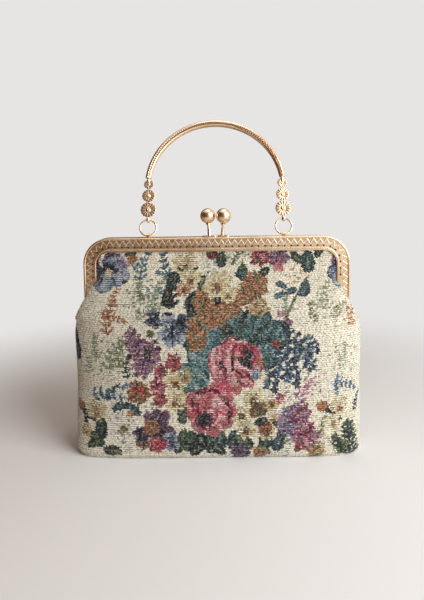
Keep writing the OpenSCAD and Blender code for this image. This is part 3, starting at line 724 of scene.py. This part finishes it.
def tapestry_piece(name, side, seed, shift_u, shift_v, material):
    """One cut of tapestry: a fine outer face with the weave's ribs, a plain back and a closed edge."""
    rows, lengths, down = cloth_rows(pick_h / 2, cloth_cols, 0.0, base_rows)
    count = len(rows)
    wall = count - base_rows
    across = (np.linspace(0, 1, cloth_cols + 1)[None] - 0.5) * lengths[:, None]
    normal = outward(rows)
    rib = np.where(np.arange(count) % 2 == 1, pick_relief, -pick_relief)
    rib[wall - plain_rows :] = 0
    lift = rib[:, None] + slow_sag(across, down[:, None]) * (np.arange(count) < wall - still_rows)[:, None]
    hold = smooth_step(0, edge_hold, (lengths[:, None] / 2 - np.abs(across)))
    face = rows + normal * (lift * hold)[:, :, None]
    kept = [*range(0, count - 1, back_step), count - 1]
    back = rows[kept][:, ::back_step] - normal[kept][:, ::back_step] * cloth_t
    back[:, :, 2] = np.maximum(back[:, :, 2], cloth_t)
    back[:, :, 1] = np.minimum(back[:, :, 1], -seam_gap)
    points = np.concatenate([face.reshape(-1, 3), back.reshape(-1, 3)])
    points[:, 1] *= side
    wide = cloth_cols + 1
    coarse_wide = back.shape[1]
    lower = count * wide
    quads = grid_quads(count, wide)
    inner = [tuple(lower + k for k in (f[0], *f[:0:-1])) for f in grid_quads(len(kept), coarse_wide)]
    rim = []
    for i in range(coarse_wide - 1):
        top = list(range(i * back_step, (i + 1) * back_step + 1))
        rim.append(tuple(top + [lower + i + 1, lower + i]))
        foot = [(count - 1) * wide + k for k in top][::-1]
        base = lower + (len(kept) - 1) * coarse_wide + i
        rim.append(tuple(foot + [base, base + 1]))
    for j in range(len(kept) - 1):
        left = [k * wide for k in range(kept[j], kept[j + 1] + 1)][::-1]
        rim.append(tuple(left + [lower + j * coarse_wide, lower + (j + 1) * coarse_wide]))
        right = [k + cloth_cols for k in left][::-1]
        rim.append(tuple(right + [lower + (j + 2) * coarse_wide - 1, lower + (j + 1) * coarse_wide - 1]))
    faces = quads + inner + rim
    if side < 0:
        faces = [f[::-1] for f in faces]
    mesh = shaped_mesh(name, points, faces, [k >= len(quads) for k in range(len(faces))])
    mid_u = (across[:-1, :-1] + across[1:, 1:]) / 2
    mid_v = np.repeat(((down[:-1] + down[1:]) / 2)[:, None], cloth_cols, 1)
    dyed = tapestry_colours(mid_u, mid_v, seed, shift_u, shift_v)
    totals = np.zeros(len(mesh.polygons), int)
    mesh.polygons.foreach_get("loop_total", totals)
    owner = np.repeat(np.arange(len(faces)), totals)
    colour = np.ones((len(faces), 4))
    colour[:, :3] = yarn(back_yarn)
    colour[: len(quads), :3] = dyed.reshape(-1, 3)
    paint = mesh.color_attributes.new("yarn", "FLOAT_COLOR", "CORNER")
    paint.data.foreach_set("color", colour[owner].ravel().astype(np.float32))
    flat = np.zeros((len(points), 2))
    flat[:lower, 0] = across.ravel()
    flat[:lower, 1] = np.repeat(down, wide)
    flat[lower:, 0] = across[kept][:, ::back_step].ravel()
    flat[lower:, 1] = np.repeat(down[kept], coarse_wide)
    lay_flat(mesh, flat)
    mesh.validate()
    piece = link_piece(name, mesh, material)
    return piece


jacquard = floral_jacquard()
for half, side, seed, shift_u, shift_v in (("front", 1, 11, 0, 0), ("rear", -1, 23, 26, 4)):
    tapestry = tapestry_piece(half + "_tapestry", side, seed, shift_u, shift_v, jacquard)
    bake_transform(tapestry)
    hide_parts(half + "_panel", half + "_fold", half + "_yoke")

# Lining: a plain brown satin bag a little smaller than the tapestry, sewn in with it at the frame.
# It is cut as a front and a rear piece and hangs free inside, so it wrinkles softly.
lining_gap = 1.9
lining_t = 0.5
lining_cols = 96
lining_step = 3.0
lining_rows = 6
lining_slack = 0.5
lining_floor = 4.2
lining_seam = 0.3


def two_tones(tree, value, low, high, start=0.0, end=1.0):
    """Colour that runs from one tone to another as a value goes from start to end."""
    shade = add_node(tree, "ShaderNodeValToRGB", {"Fac": value})
    for stop, at, code in zip(shade.color_ramp.elements, (start, end), (low, high)):
        stop.position = at
        stop.color = tint(code)
    return shade


def brown_satin():
    """Warp-faced satin: fine vertical lines, a soft sheen and faint creases whose hollows are darker as
    painted shade.
    """
    material, tree = new_material("brown lining satin")
    cut = add_node(tree, "ShaderNodeUVMap", uv_map="cut")
    ends = add_node(
        tree, "ShaderNodeTexWave", {"Vector": cut, "Scale": 0.9, "Distortion": 1.5, "Detail": 2.0},
        wave_type="BANDS", bands_direction="X",
    )
    crease_with_painted_shade = noise(tree, cut, 0.06, 3.0)
    # painted shade: the colour darkens where the creasing bump sinks
    shade = two_tones(tree, crease_with_painted_shade, "#75553a", "#9c7853", 0.3, 0.75)
    rough = spread(tree, ends.outputs[1], 0.38, 0.52)
    bump = relief(tree, crease_with_painted_shade, 0.2, 0.0004)
    finish_material(
        tree, Base_Color=shade, Roughness=rough, Normal=bump, Sheen_Weight=0.3, Anisotropic=0.4
    )
    return material


def lining_piece(name, side, material):
    rows, lengths, down = cloth_rows(lining_step, lining_cols, lining_gap, lining_rows)
    across = (np.linspace(0, 1, lining_cols + 1)[None] - 0.5) * lengths[:, None]
    loose = lining_slack * np.sin(across / 7 + down[:, None] / 31) * smooth_step(30, 80, down)[:, None]
    loose *= smooth_step(0, 8, lengths[:, None] / 2 - np.abs(across))
    inward = (lining_slack + loose) * smooth_step(20, 40, down)[:, None]
    points = rows - outward(rows) * inward[:, :, None]
    points[:, :, 2] = np.maximum(points[:, :, 2], lining_floor)
    points[:, :, 1] = np.minimum(points[:, :, 1], -lining_seam)
    points[:, :, 1] *= side
    wide = lining_cols + 1
    faces = [f[::side] for f in grid_quads(len(rows), wide)]
    mesh = shaped_mesh(name, points, faces, [True] * len(faces))
    lay_flat(mesh, np.stack([across, np.repeat(down[:, None], wide, 1)], 2).reshape(-1, 2))
    piece = link_piece(name, mesh, material)
    wall = piece.modifiers.new("thickness", "SOLIDIFY")
    wall.thickness = lining_t * MM
    wall.offset = -1
    return piece


satin = brown_satin()
for half, side in (("front", 1), ("rear", -1)):
    lining = lining_piece(half + "_satin", side, satin)
    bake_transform(lining)
    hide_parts(half + "_lining", half + "_lining_fold", half + "_lining_yoke")


# Base board: a grey-brown cardboard stiffener cut to the base and laid loose between tapestry and lining.
# It is hidden in use.
def in_object(tree):
    return add_node(tree, "ShaderNodeTexCoord").outputs["Object"]


def cardboard():
    """Pulp board with short fibres."""
    material, tree = new_material("pulp board")
    pulp = noise(tree, in_object(tree), 700.0, 4.0)
    shade = two_tones(tree, pulp, "#57493a", "#85745c")
    finish_material(tree, Base_Color=shade, Roughness=0.9, Normal=relief(tree, pulp, 0.3, 0.0002))
    return material


def dress(node, material):
    """Gives a CAD node its finish."""
    mesh = frame["nodes"][node].data
    mesh.materials.clear()
    mesh.materials.append(material)


dress("base_board", cardboard())


# Frame halves: pressed steel strip bent to a U with a rim wall, plated in pale champagne gold.
# A zigzag ridge over fine hatching is embossed between the rim and the sewing holes.
face_y = -frame_low.y / MM - 0.8
zigzag_pitch = 5.0
zigzag_inset = 4.0
zigzag_swing = 1.8
zigzag_wire = 1.0
zigzag_flat = 0.13
zigzag_sunk = 0.06
emboss_half = 26 * zigzag_pitch
hatch_inset = 3.4
hatch_pitch = 0.62
hatch_wire = 0.3
hatch_len = 5.6
hatch_flat = 0.1
hatch_sunk = 0.02
wire_sides = 20


def champagne_gold(name, worn, bright, smooth, dull):
    """Thin plating over polished metal: warm pale gold, duller and browner where it is handled."""
    material, tree = new_material(name)
    where = in_object(tree)
    handled = noise(tree, where, 55.0, 3.0)
    grain = noise(tree, where, 1600.0, 2.0)
    shade = two_tones(tree, handled, worn, bright, 0.32, 0.68)
    rough = spread(tree, handled, smooth, dull)
    bump = relief(tree, grain, 0.06, 0.0001)
    finish_material(tree, Base_Color=shade, Metallic=1.0, Roughness=rough, Normal=bump)
    return material


def strip_line(inset, half_length):
    """Points up one arm, round both corners and down the other arm, at an inset from the outer edge."""
    bend = corner_r - inset
    cx, cz = frame_half_w - corner_r, top_z - corner_r
    low_z = cz - (half_length - cx - bend * math.pi / 2)
    turn = np.linspace(0, math.pi / 2, 17)
    right = [(cx + bend * math.sin(a), cz + bend * math.cos(a)) for a in turn]
    right.append((frame_half_w - inset, low_z))
    return [(-x, z) for x, z in right[::-1]] + right


def in_line(first, end):
    """Edges that join points in their order."""
    return [(k, k + 1) for k in range(first, end - 1)]


def new_tree(name, *sizes):
    """A geometry tree with its named size inputs and a geometry input and output."""
    tree = bpy.data.node_groups.new(name, "GeometryNodeTree")
    tree.interface.new_socket("Geometry", in_out="INPUT", socket_type="NodeSocketGeometry")
    tree.interface.new_socket("Geometry", in_out="OUTPUT", socket_type="NodeSocketGeometry")
    for size in sizes:
        tree.interface.new_socket(size, in_out="INPUT", socket_type="NodeSocketFloat")
    return tree, add_node(tree, "NodeGroupInput").outputs


def end_tree(tree, geometry, material, rounded=True):
    solid = add_node(tree, "GeometryNodeRealizeInstances", {"Geometry": geometry})
    smooth = add_node(tree, "GeometryNodeSetShadeSmooth", {"Geometry": solid, "Shade Smooth": rounded})
    coat = add_node(tree, "GeometryNodeSetMaterial", {"Geometry": smooth, "Material": material})
    add_node(tree, "NodeGroupOutput", {"Geometry": coat})


def grown(name, tree, points, edges, **sizes):
    """Runs a tree over a line of points and keeps the result as a plain mesh."""
    mesh = bpy.data.meshes.new(name + "_line")
    mesh.from_pydata((np.array(points) * MM).tolist(), edges, [])
    source = link_piece(name + "_line", mesh, None)
    run = source.modifiers.new("grow", "NODES")
    run.node_group = tree
    for item in tree.interface.items_tree:
        if item.in_out == "INPUT" and item.name in sizes:
            run[item.identifier] = sizes[item.name]
    graph = bpy.context.evaluated_depsgraph_get()
    made = bpy.data.meshes.new_from_object(source.evaluated_get(graph))
    source.modifiers.remove(run)
    bpy.data.objects.remove(source)
    made.name = name
    return link_piece(name, made, None)


def side_of_line(tree):
    """Direction across the strip, in its plane."""
    tangent = add_node(tree, "GeometryNodeInputTangent")
    return tangent, reckon(tree, "CROSS_PRODUCT", tangent, (0, 1, 0), kind="ShaderNodeVectorMath")


def spaced_line(tree, given):
    """Points at even steps along the line mesh."""
    line = add_node(tree, "GeometryNodeMeshToCurve", {"Mesh": given["Geometry"]})
    inputs = {"Curve": line, "Length": given["Pitch"]}
    return add_node(tree, "GeometryNodeResampleCurve", inputs, mode="LENGTH")


def pressed(tree, geometry, given):
    """Flattens a wire that was laid at depth 0 and moves it to the face of the strip."""
    thin = add_node(tree, "ShaderNodeCombineXYZ", {0: 1.0, 1: given["Flat"], 2: 1.0})
    depth = add_node(tree, "ShaderNodeCombineXYZ", {1: given["Depth"]})
    inputs = {"Geometry": geometry, "Translation": depth, "Scale": thin}
    return add_node(tree, "GeometryNodeTransform", inputs)


def rod(tree, line, sides, radius):
    """Round bar along a line, with closed ends."""
    wire = add_node(tree, "GeometryNodeCurvePrimitiveCircle", {"Resolution": sides, "Radius": radius})
    inputs = {"Curve": line, "Profile Curve": wire, "Fill Caps": True}
    return add_node(tree, "GeometryNodeCurveToMesh", inputs)


def zigzag_tree(material):
    tree, given = new_tree("embossed zigzag", "Pitch", "Swing", "Wire", "Flat", "Depth")
    points = spaced_line(tree, given)
    index = add_node(tree, "GeometryNodeInputIndex")
    odd = reckon(tree, "MODULO", index, 2.0)
    sign = reckon(tree, "MULTIPLY_ADD", odd, 2.0, -1.0)
    swing = reckon(tree, "MULTIPLY", sign, given["Swing"])
    side = side_of_line(tree)[1]
    shift = add_node(tree, "ShaderNodeVectorMath", {0: side, "Scale": swing}, operation="SCALE")
    bent = add_node(tree, "GeometryNodeSetPosition", {"Geometry": points, "Offset": shift})
    rib = rod(tree, bent, wire_sides, given["Wire"])
    end_tree(tree, pressed(tree, rib, given), material, rounded=False)
    return tree


def hatch_tree(material):
    tree, given = new_tree("embossed hatching", "Pitch", "Long", "Wire", "Flat", "Depth")
    points = spaced_line(tree, given)
    tangent, side = side_of_line(tree)
    slant = reckon(tree, "ADD", tangent, side, kind="ShaderNodeVectorMath")
    turn = add_node(tree, "FunctionNodeAlignRotationToVector", {"Vector": slant}, axis="Z")
    inputs = {"Vertices": wire_sides, "Radius": given["Wire"], "Depth": given["Long"]}
    bar = add_node(tree, "GeometryNodeMeshCylinder", inputs)
    inputs = {"Points": points, "Instance": bar, "Rotation": turn}
    bars = add_node(tree, "GeometryNodeInstanceOnPoints", inputs)
    end_tree(tree, pressed(tree, bars, given), material, rounded=False)
    return tree


def gold_with_painted_shade(name, shaded_hollow, worn, rough):
    """Punched plating for sunk parts: duller and browner than the polished faces as painted shade, with a
    random mottle.
    """
    material, tree = new_material(name)
    tarnish = noise(tree, in_object(tree), 420.0, 3.0)
    shade = two_tones(tree, tarnish, shaded_hollow, worn, 0.3, 0.7)
    bump = relief(tree, tarnish, 0.2, 0.0002)
    finish_material(tree, Base_Color=shade, Metallic=1.0, Roughness=rough, Normal=bump)
    return material


gold = champagne_gold("champagne gold plate", "#e0c09f", "#f0d9bc", 0.18, 0.3)
# the zigzag ridges are a paler gold than the plating: painted highlight
zigzag = zigzag_tree(champagne_gold("gold ridges, painted highlight", "#ebd0b0", "#f5e1c8", 0.24, 0.34))
# the hatched ground is a darker gold than the plating: painted shade in the hatching
hatching = hatch_tree(gold_with_painted_shade("hatched gold, painted shade", "#caa483", "#e8cbab", 0.26))
for half, side in (("front", -1), ("rear", 1)):
    dress(half + "_frame", gold)
    raised = [(x, 0, z) for x, z in strip_line(zigzag_inset, emboss_half)]
    emboss = grown(
        half + "_zigzag", zigzag, raised, in_line(0, len(raised)),
        Pitch=zigzag_pitch / 2 * MM, Swing=zigzag_swing * MM, Wire=zigzag_wire * MM,
        Flat=zigzag_flat, Depth=side * (face_y - zigzag_sunk) * MM,
    )
    low = [(x, 0, z) for x, z in strip_line(hatch_inset, emboss_half)]
    engraved = grown(
        half + "_hatching", hatching, low, in_line(0, len(low)),
        Pitch=hatch_pitch * MM, Long=hatch_len * MM, Wire=hatch_wire * MM,
        Flat=hatch_flat, Depth=side * (face_y - hatch_sunk) * MM,
    )
    for piece in (emboss, engraved):
        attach(piece, half + "_half")

# Sewing: one row of running stitches in waxed brown thread through the holes of each half.
# Each stitch is a two-ply thread that lies over a pair of holes and dips into both, and it fills the holes.
hole_pitch = 5.0
hole_row = 7.3
thread_r = 0.2
row_holes = 23
fill_r = 0.74
fill_top = 0.1
fill_long = 0.7
ply_share = 0.56
thread_sides = 8
ply_twist = 4.2
dip_depth = 1.5
dip_end = 0.04
dip_from = 0.14


def waxed_thread(name, shaded, lit):
    """Two-ply brown thread, slightly shiny from its wax."""
    material, tree = new_material(name)
    fibre = noise(tree, in_object(tree), 2500.0, 2.0)
    shade = two_tones(tree, fibre, shaded, lit)
    finish_material(tree, Base_Color=shade, Roughness=0.6, Normal=relief(tree, fibre, 0.3, 0.0001))
    return material


def on_row(along):
    """Place on the sewing row, at a distance from the middle of the top bar."""
    bend = corner_r - hole_row
    bar = frame_half_w - corner_r
    if along < bar:
        return along, top_z - hole_row
    turn = (along - bar) / bend
    if turn < math.pi / 2:
        return bar + bend * math.sin(turn), top_z - corner_r + bend * math.cos(turn)
    return frame_half_w - hole_row, top_z - corner_r - (along - bar - bend * math.pi / 2)


def stitch_tree(material):
    """Lays a thread along every line of the mesh."""
    tree, given = new_tree("running stitches", "Thread")
    line = add_node(tree, "GeometryNodeMeshToCurve", {"Mesh": given["Geometry"]})
    end_tree(tree, rod(tree, line, thread_sides, given["Thread"]), material)
    return tree


def stitch_lines(side):
    """Two plies wound round each other for each stitch, dipping into the holes at both ends."""
    points, edges = [], []
    pairs = [(-0.5, 0.5)]
    for k in range(1, row_holes - 1, 2):
        pairs += [(s * (k + 0.5), s * (k + 1.5)) for s in (1, -1)]
    for first, last in pairs:
        ends = []
        for at in (first, last):
            x, z = on_row(abs(at) * hole_pitch)
            ends.append(np.array([math.copysign(x, at), z]))
        span = ends[1] - ends[0]
        long = np.linalg.norm(span)
        aim = span / long
        across = np.array([-aim[1], aim[0]])
        for ply in (0, math.pi):
            start = len(points)
            for t in np.linspace(-dip_end, 1 + dip_end, 17):
                wind = ply + t * long * ply_twist
                dip = dip_depth * smooth_step(dip_from, -dip_end, t)
                dip += dip_depth * smooth_step(1 - dip_from, 1 + dip_end, t)
                spot = ends[0] + span * t + across * math.cos(wind) * thread_r * 0.5
                out = face_y + thread_r * (0.9 + 0.5 * math.sin(wind)) - dip
                points.append((spot[0], side * out, spot[1]))
            edges += in_line(start, len(points))
    return points, edges


def hole_fills(side):
    """A short length of thread in every hole, a little below the face. It is near black, darker than the
    stitches, as painted shade.
    """
    points = []
    for k in range(row_holes):
        x, z = on_row((k + 0.5) * hole_pitch)
        for s in (1, -1):
            points += [(s * x, side * (face_y - depth), z) for depth in (fill_top, fill_top + fill_long)]
    return points, in_line(0, len(points))[::2]


stitching_tree = stitch_tree(waxed_thread("waxed brown thread", "#2c1c15", "#5e3e2c"))
# painted shade: the thread in the holes is near black, darker than the stitches
hole_shade_tree = stitch_tree(waxed_thread("thread in the holes, painted shade", "#0d0806", "#22150f"))
for half, side in (("front", -1), ("rear", 1)):
    ply_r = thread_r * ply_share
    stitches = grown(half + "_stitches", stitching_tree, *stitch_lines(side), Thread=ply_r * MM)
    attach(stitches, half + "_half")
    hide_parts(half + "_stitching")
    fills = grown(half + "_thread_ends_painted_shade", hole_shade_tree, *hole_fills(side), Thread=fill_r * MM)
    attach(fills, half + "_half")

# Rivets, clasp, ears and rings: turned and bent brass, plated like the frame.
# The rivets are headed over, the clasp stems and ears are soldered to the rims.
for node in (
    "left_rivet", "right_rivet", "front_clasp_stem", "rear_clasp_stem", "front_clasp_ball", "rear_clasp_ball",
    "left_ear", "right_ear", "left_ring", "right_ring",
):
    dress(node, gold)

# Rosette strips: three cast daisies in a row, a spine behind them and a lug for the ring.
# They are plated like the frame. The spine's pin is soldered into the end of the handle bar.
# the grooves of the daisies and of the handle bar get a much darker gold: painted shade
groove_shade_gold = gold_with_painted_shade("gold grooves, painted shade", "#5b3826", "#a06c48", 0.35)
petals = 14
petal_steps = 8
daisy_rings = np.concatenate([np.linspace(0.02, 0.3, 6), np.linspace(0.36, 1.0, 11)])
daisy_scale = 1.06
daisy_back = 0.9
petal_notch = 0.08
petal_base = 0.14
petal_crown = 0.035
crown_at = 0.67
crown_half = 0.37
boss_r = 0.27
boss_high = 0.2
boss_dimple = 0.1
dimple_r = 0.13
groove_ridge = 0.6
heart_rings = 5
ring_d = 12.7
lug_r = 1.8
lug_wire = 0.65
lug_widen = 1.8
lug_steps = 24
rod_sides = 12
spine_r = 1.2
spine_back = 0.7
spine_at = (ring_d + 2.2, 16, 30, 44)
pin_from = 41
pin_long = 9
pin_lean = 0.4
large_r = 5.8
daisies = ((large_r, 20.7), (large_r * 0.84, 32.1), (large_r * 0.63, 41.6))
joint_at = {j["name"]: np.array(j["pos_m"]) / MM for j in frame["joints"]}
ear = joint_at["left_ring_swing"]
lean = joint_at["handle_swing"] - ear
lean = lean / np.linalg.norm(lean)
front = np.array([0, -lean[2], lean[1]])
sideways = np.array([1.0, 0, 0])


def ring_faces(rings, sides, first, closed=False):
    """Quads between rings of points, with flat ends unless the rings close on themselves."""
    faces = []
    for j in range(rings if closed else rings - 1):
        for i in range(sides):
            k, n = (i + 1) % sides, (j + 1) % rings
            corners = (j * sides + i, j * sides + k, n * sides + k, n * sides + i)
            faces.append(tuple(first + c for c in corners))
    if not closed:
        faces.append(tuple(range(first, first + sides))[::-1])
        faces.append(tuple(range(first + (rings - 1) * sides, first + rings * sides)))
    return faces


def daisy(r):
    """One daisy as rings from its back edge round the rim to its middle: across, forward and up."""
    turn = full_turn(petals * petal_steps)
    ridge = np.abs(np.cos(turn * petals / 2)) ** 0.5
    back_r = r * daisy_back
    rings = [np.stack([back_r * np.cos(turn), 0 * turn, back_r * np.sin(turn)], 1)]
    for share in daisy_rings[::-1]:
        reach = r * share * (1 - petal_notch * (1 - ridge) * smooth_step(0.5, 1.0, share))
        crown = math.sqrt(max(0, 1 - ((share - crown_at) / crown_half) ** 2))
        boss = boss_high * math.sqrt(max(0, 1 - (share / boss_r) ** 2))
        boss -= boss_dimple * smooth_step(dimple_r, daisy_rings[0], share)
        height = r * (petal_base + petal_crown * crown * ridge + boss)
        rings.append(np.stack([reach * np.cos(turn), height, reach * np.sin(turn)], 1))
    return np.array(rings), ridge


def tube(path, radius, sides):
    """Round bar along a path of points across, forward and up, all in one upright plane."""
    turn = full_turn(sides)
    return np.array([
        [(x + radius * math.cos(a), y + radius * math.sin(a), z) for a in turn] for x, y, z in path
    ])


def rosette_strip(name, side):
    points, faces, shaded_hollow = [], [], []
    for r, up in daisies:
        rings, ridge = daisy(r * daisy_scale)
        made = ring_faces(*rings.shape[:2], len(points))
        sides = rings.shape[1]
        for number, face in enumerate(made):
            ring, at = divmod(number, sides)
            # faces in the petal grooves, outside the heart, take the darker gold as painted shade
            deep = ring < len(rings) - 1 and min(ridge[at], ridge[(at + 1) % sides]) < groove_ridge
            shaded_hollow.append(bool(deep and 0 < ring < len(daisy_rings) - heart_rings))
        faces += made
        points += [p + (0, 0, up) for p in rings.reshape(-1, 3)]
    spine = tube([(0, -spine_back, z) for z in spine_at], spine_r, rod_sides)
    pin = tube([(pin_lean * t, 0, pin_from + pin_long * t) for t in (0, 0.5, 1)], spine_r, rod_sides)
    for bar in (spine, pin):
        faces += ring_faces(*bar.shape[:2], len(points))
        points += list(bar.reshape(-1, 3))
    lug = np.array([
        [(lug_widen * lug_wire * math.sin(w), (lug_r + lug_wire * math.cos(w)) * math.cos(a),
          ring_d + (lug_r + lug_wire * math.cos(w)) * math.sin(a)) for w in full_turn(rod_sides)]
        for a in full_turn(lug_steps)
    ])
    faces += ring_faces(*lug.shape[:2], len(points), closed=True)
    points += list(lug.reshape(-1, 3))
    shaded_hollow += [False] * (len(faces) - len(shaded_hollow))
    spots = np.array(points)
    place = np.array([side * abs(ear[0]), ear[1], ear[2]])
    spots = place + spots[:, :1] * sideways * side + spots[:, 1:2] * front + spots[:, 2:] * lean
    mesh = shaped_mesh(name, spots, faces, [len(f) == 4 for f in faces])
    piece = link_piece(name, mesh, gold)
    mesh.materials.append(groove_shade_gold)
    mesh.polygons.foreach_set("material_index", [int(h) for h in shaded_hollow])
    shape = bmesh.new()
    shape.from_mesh(mesh)
    bmesh.ops.recalc_face_normals(shape, faces=shape.faces)
    shape.to_mesh(mesh)
    shape.free()
    return piece


for name, side in (("left", -1), ("right", 1)):
    strip = rosette_strip(name + "_daisies", side)
    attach(strip, "handle")
    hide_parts(name + "_rosette_strip")

# Handle bar: a round bar bent to an arch that thins towards its ends.
# A narrow groove with slanting punch cuts runs along the middle of its front.
bar_r = 2.8
end_share = 0.84
bar_steps = 640
bar_sides = 64
groove_mid = math.radians(97)
groove_half = math.radians(18)
groove_depth = 0.4
cut_pitch = 1.9
cut_depth = 0.35
cut_slant = 0.5
thin_power = 0.7
arch_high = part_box("handle_arch")[1]
arch_rise = 46.0
arch_end_x = abs(ear[0]) + pin_lean
arch_r = (arch_end_x**2 + arch_rise**2) / (2 * arch_rise)
arch_mid = (arch_high.z / MM - bar_r - ear[2]) / lean[2] - arch_r
arch_from = math.acos(arch_end_x / arch_r)


def engraved_bar(name):
    """The bar as a tube of rings, with the groove and its cuts pressed into it. The groove floor between the
    cuts has painted shade.
    """
    turn = np.linspace(arch_from, math.pi - arch_from, bar_steps + 1)[:, None]
    around = full_turn(bar_sides)[None]
    along = (turn - arch_from) / (math.pi - 2 * arch_from)
    taper = end_share + (1 - end_share) * np.sin(along * math.pi) ** thin_power
    off = (around - groove_mid) / groove_half
    groove = smooth_step(1.15, 0.8, np.abs(off))
    wave = np.mod(turn * arch_r / cut_pitch + off * cut_slant, 1)
    ridge = smooth_step(0.5, 0.7, wave) * smooth_step(1.0, 0.8, wave)
    radius = bar_r * taper - groove * (groove_depth - cut_depth * ridge)
    out = sideways * np.cos(turn)[:, :, None] + lean * np.sin(turn)[:, :, None]
    centre = np.array([0, ear[1], ear[2]]) + lean * arch_mid
    points = centre + out * arch_r + radius[:, :, None] * (
        np.cos(around)[:, :, None] * out + np.sin(around)[:, :, None] * front
    )
    faces = ring_faces(bar_steps + 1, bar_sides, 0)
    mesh = shaped_mesh(name, points, faces, [len(f) == 4 for f in faces])
    piece = link_piece(name, mesh, gold)
    mesh.materials.append(groove_shade_gold)
    # painted shade: groove faces between the cuts take the darker gold
    low = ((np.abs(off) < 0.95) & (ridge < 0.5))[:-1].ravel()
    mesh.polygons.foreach_set("material_index", [*low.astype(int).tolist(), 0, 0])
    return piece


bar = engraved_bar("engraved_arch")
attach(bar, "handle")
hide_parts("handle_arch")

# Stand and light: a pale plain floor, one large soft window light from the right and weak fill.
floor_size = 1.0
key_size = 0.7
backdrop = "#e7e5e3"
shaded = "#583b26"
opened = "#7c6a58"
room_dark = "#5d4636"
room_light = "#fbf8f3"
room_between = ((0.375, "#76604f"), (0.5, "#98887b"), (0.595, room_light))
ceiling_from = 0.55
ceiling_to = 0.95
plain_from = 0.16
plain_to = 0.48
light_aim = Vector((0, 0, 0.11))
window_at = Vector((0.62, -0.5, 0.45))
window_watts = 9.4
ceiling_at = Vector((0.1, 0.0, 1.3))
ceiling_watts = 3.5


def pale_floor():
    """Matt pale card that keeps the shadow near the bag and fades into the background further out."""
    material, tree = new_material("pale matt floor")
    where = in_object(tree)
    shade = two_tones(tree, noise(tree, where, 3.0, 2.0), "#e9ebee", "#f0f2f5")
    far = reckon(tree, "LENGTH", where, kind="ShaderNodeVectorMath").outputs["Value"]
    fade = spread(tree, far, 0.0, 1.0, From_Min=plain_from, From_Max=plain_to)
    fade.interpolation_type = "SMOOTHSTEP"
    ray = add_node(tree, "ShaderNodeLightPath")
    plain = reckon(tree, "MULTIPLY", fade, ray.outputs["Is Camera Ray"])
    card = add_node(tree, "ShaderNodeBsdfPrincipled", {"Base Color": shade, "Roughness": 0.9})
    glow = add_node(tree, "ShaderNodeEmission", {"Color": tint(backdrop)})
    both = add_node(tree, "ShaderNodeMixShader", {0: plain, 1: card, 2: glow})
    add_node(tree, "ShaderNodeOutputMaterial", {"Surface": both})
    return material


half_floor = floor_size / 2
floor_mesh = bpy.data.meshes.new("floor")
floor_mesh.from_pydata(
    [(x * half_floor, y * half_floor, 0) for x, y in ((-1, -1), (1, -1), (1, 1), (-1, 1))],
    [], [(0, 1, 2, 3)],
)
link_piece("floor", floor_mesh, pale_floor())

world = bpy.data.worlds.new("studio")
bpy.context.scene.world = world
world.use_nodes = True
world.node_tree.nodes.clear()
air = world.node_tree
ray = add_node(air, "ShaderNodeLightPath")
where = add_node(air, "ShaderNodeTexCoord")
heading = add_node(air, "ShaderNodeSeparateXYZ", {0: where.outputs["Generated"]})
side_on = spread(air, heading, 0.0, 1.0, From_Min=-1.0)
above = spread(air, heading.outputs[2], 0.0, 1.0, From_Min=ceiling_from, From_Max=ceiling_to)
open_air = reckon(air, "MAXIMUM", side_on, above)
room = two_tones(air, open_air, room_dark, room_light)
for at, shade in room_between:
    room.color_ramp.elements.new(at).color = tint(shade)
fill = blended(air, side_on, tint(shaded), tint(opened))
lit = blended(air, ray.outputs["Is Glossy Ray"], fill, room)
seen = blended(air, ray.outputs["Is Camera Ray"], lit, tint(backdrop))
sky = add_node(air, "ShaderNodeBackground", {"Color": seen})
add_node(air, "ShaderNodeOutputWorld", {"Surface": sky})


def soft_light(name, place, power, colour):
    lamp = bpy.data.lights.new(name, "AREA")
    lamp.shape = "SQUARE"
    lamp.size = key_size
    lamp.energy = power
    lamp.color = yarn(colour)
    holder = bpy.data.objects.new(name, lamp)
    bpy.context.scene.collection.objects.link(holder)
    holder.location = place
    holder.rotation_euler = (light_aim - place).to_track_quat("-Z", "Y").to_euler()


soft_light("window", window_at, window_watts, "#fffefb")
soft_light("ceiling", ceiling_at, ceiling_watts, "#fdf8f2")

# Camera: level with the clasp and a little above the bag's middle, as the picture was taken.
eye = Vector((1.3, -400, 197.3)) * MM
pitch, yaw, roll = (math.radians(a) for a in (3.56, -0.61, -0.79))
view_px = 600
focal_px = 518.2
lift_px = 76.9
ahead = Vector((math.sin(yaw) * math.cos(pitch), math.cos(yaw) * math.cos(pitch), -math.sin(pitch)))
level_right = Vector((math.cos(yaw), -math.sin(yaw), 0))
level_up = level_right.cross(ahead)
right = level_right * math.cos(roll) + level_up * math.sin(roll)
up = level_up * math.cos(roll) - level_right * math.sin(roll)
lens = bpy.data.cameras.new("camera")
lens.sensor_fit = "VERTICAL"
lens.sensor_height = 36
lens.lens = focal_px / view_px * lens.sensor_height
lens.shift_y = -lift_px / view_px
lens.clip_start = 0.01
camera = bpy.data.objects.new("camera", lens)
bpy.context.scene.collection.objects.link(camera)
camera.matrix_world = Matrix.Translation(eye) @ Matrix((right, up, -ahead)).transposed().to_4x4()
bpy.context.scene.camera = camera
bpy.context.scene.view_settings.view_transform = "Standard"
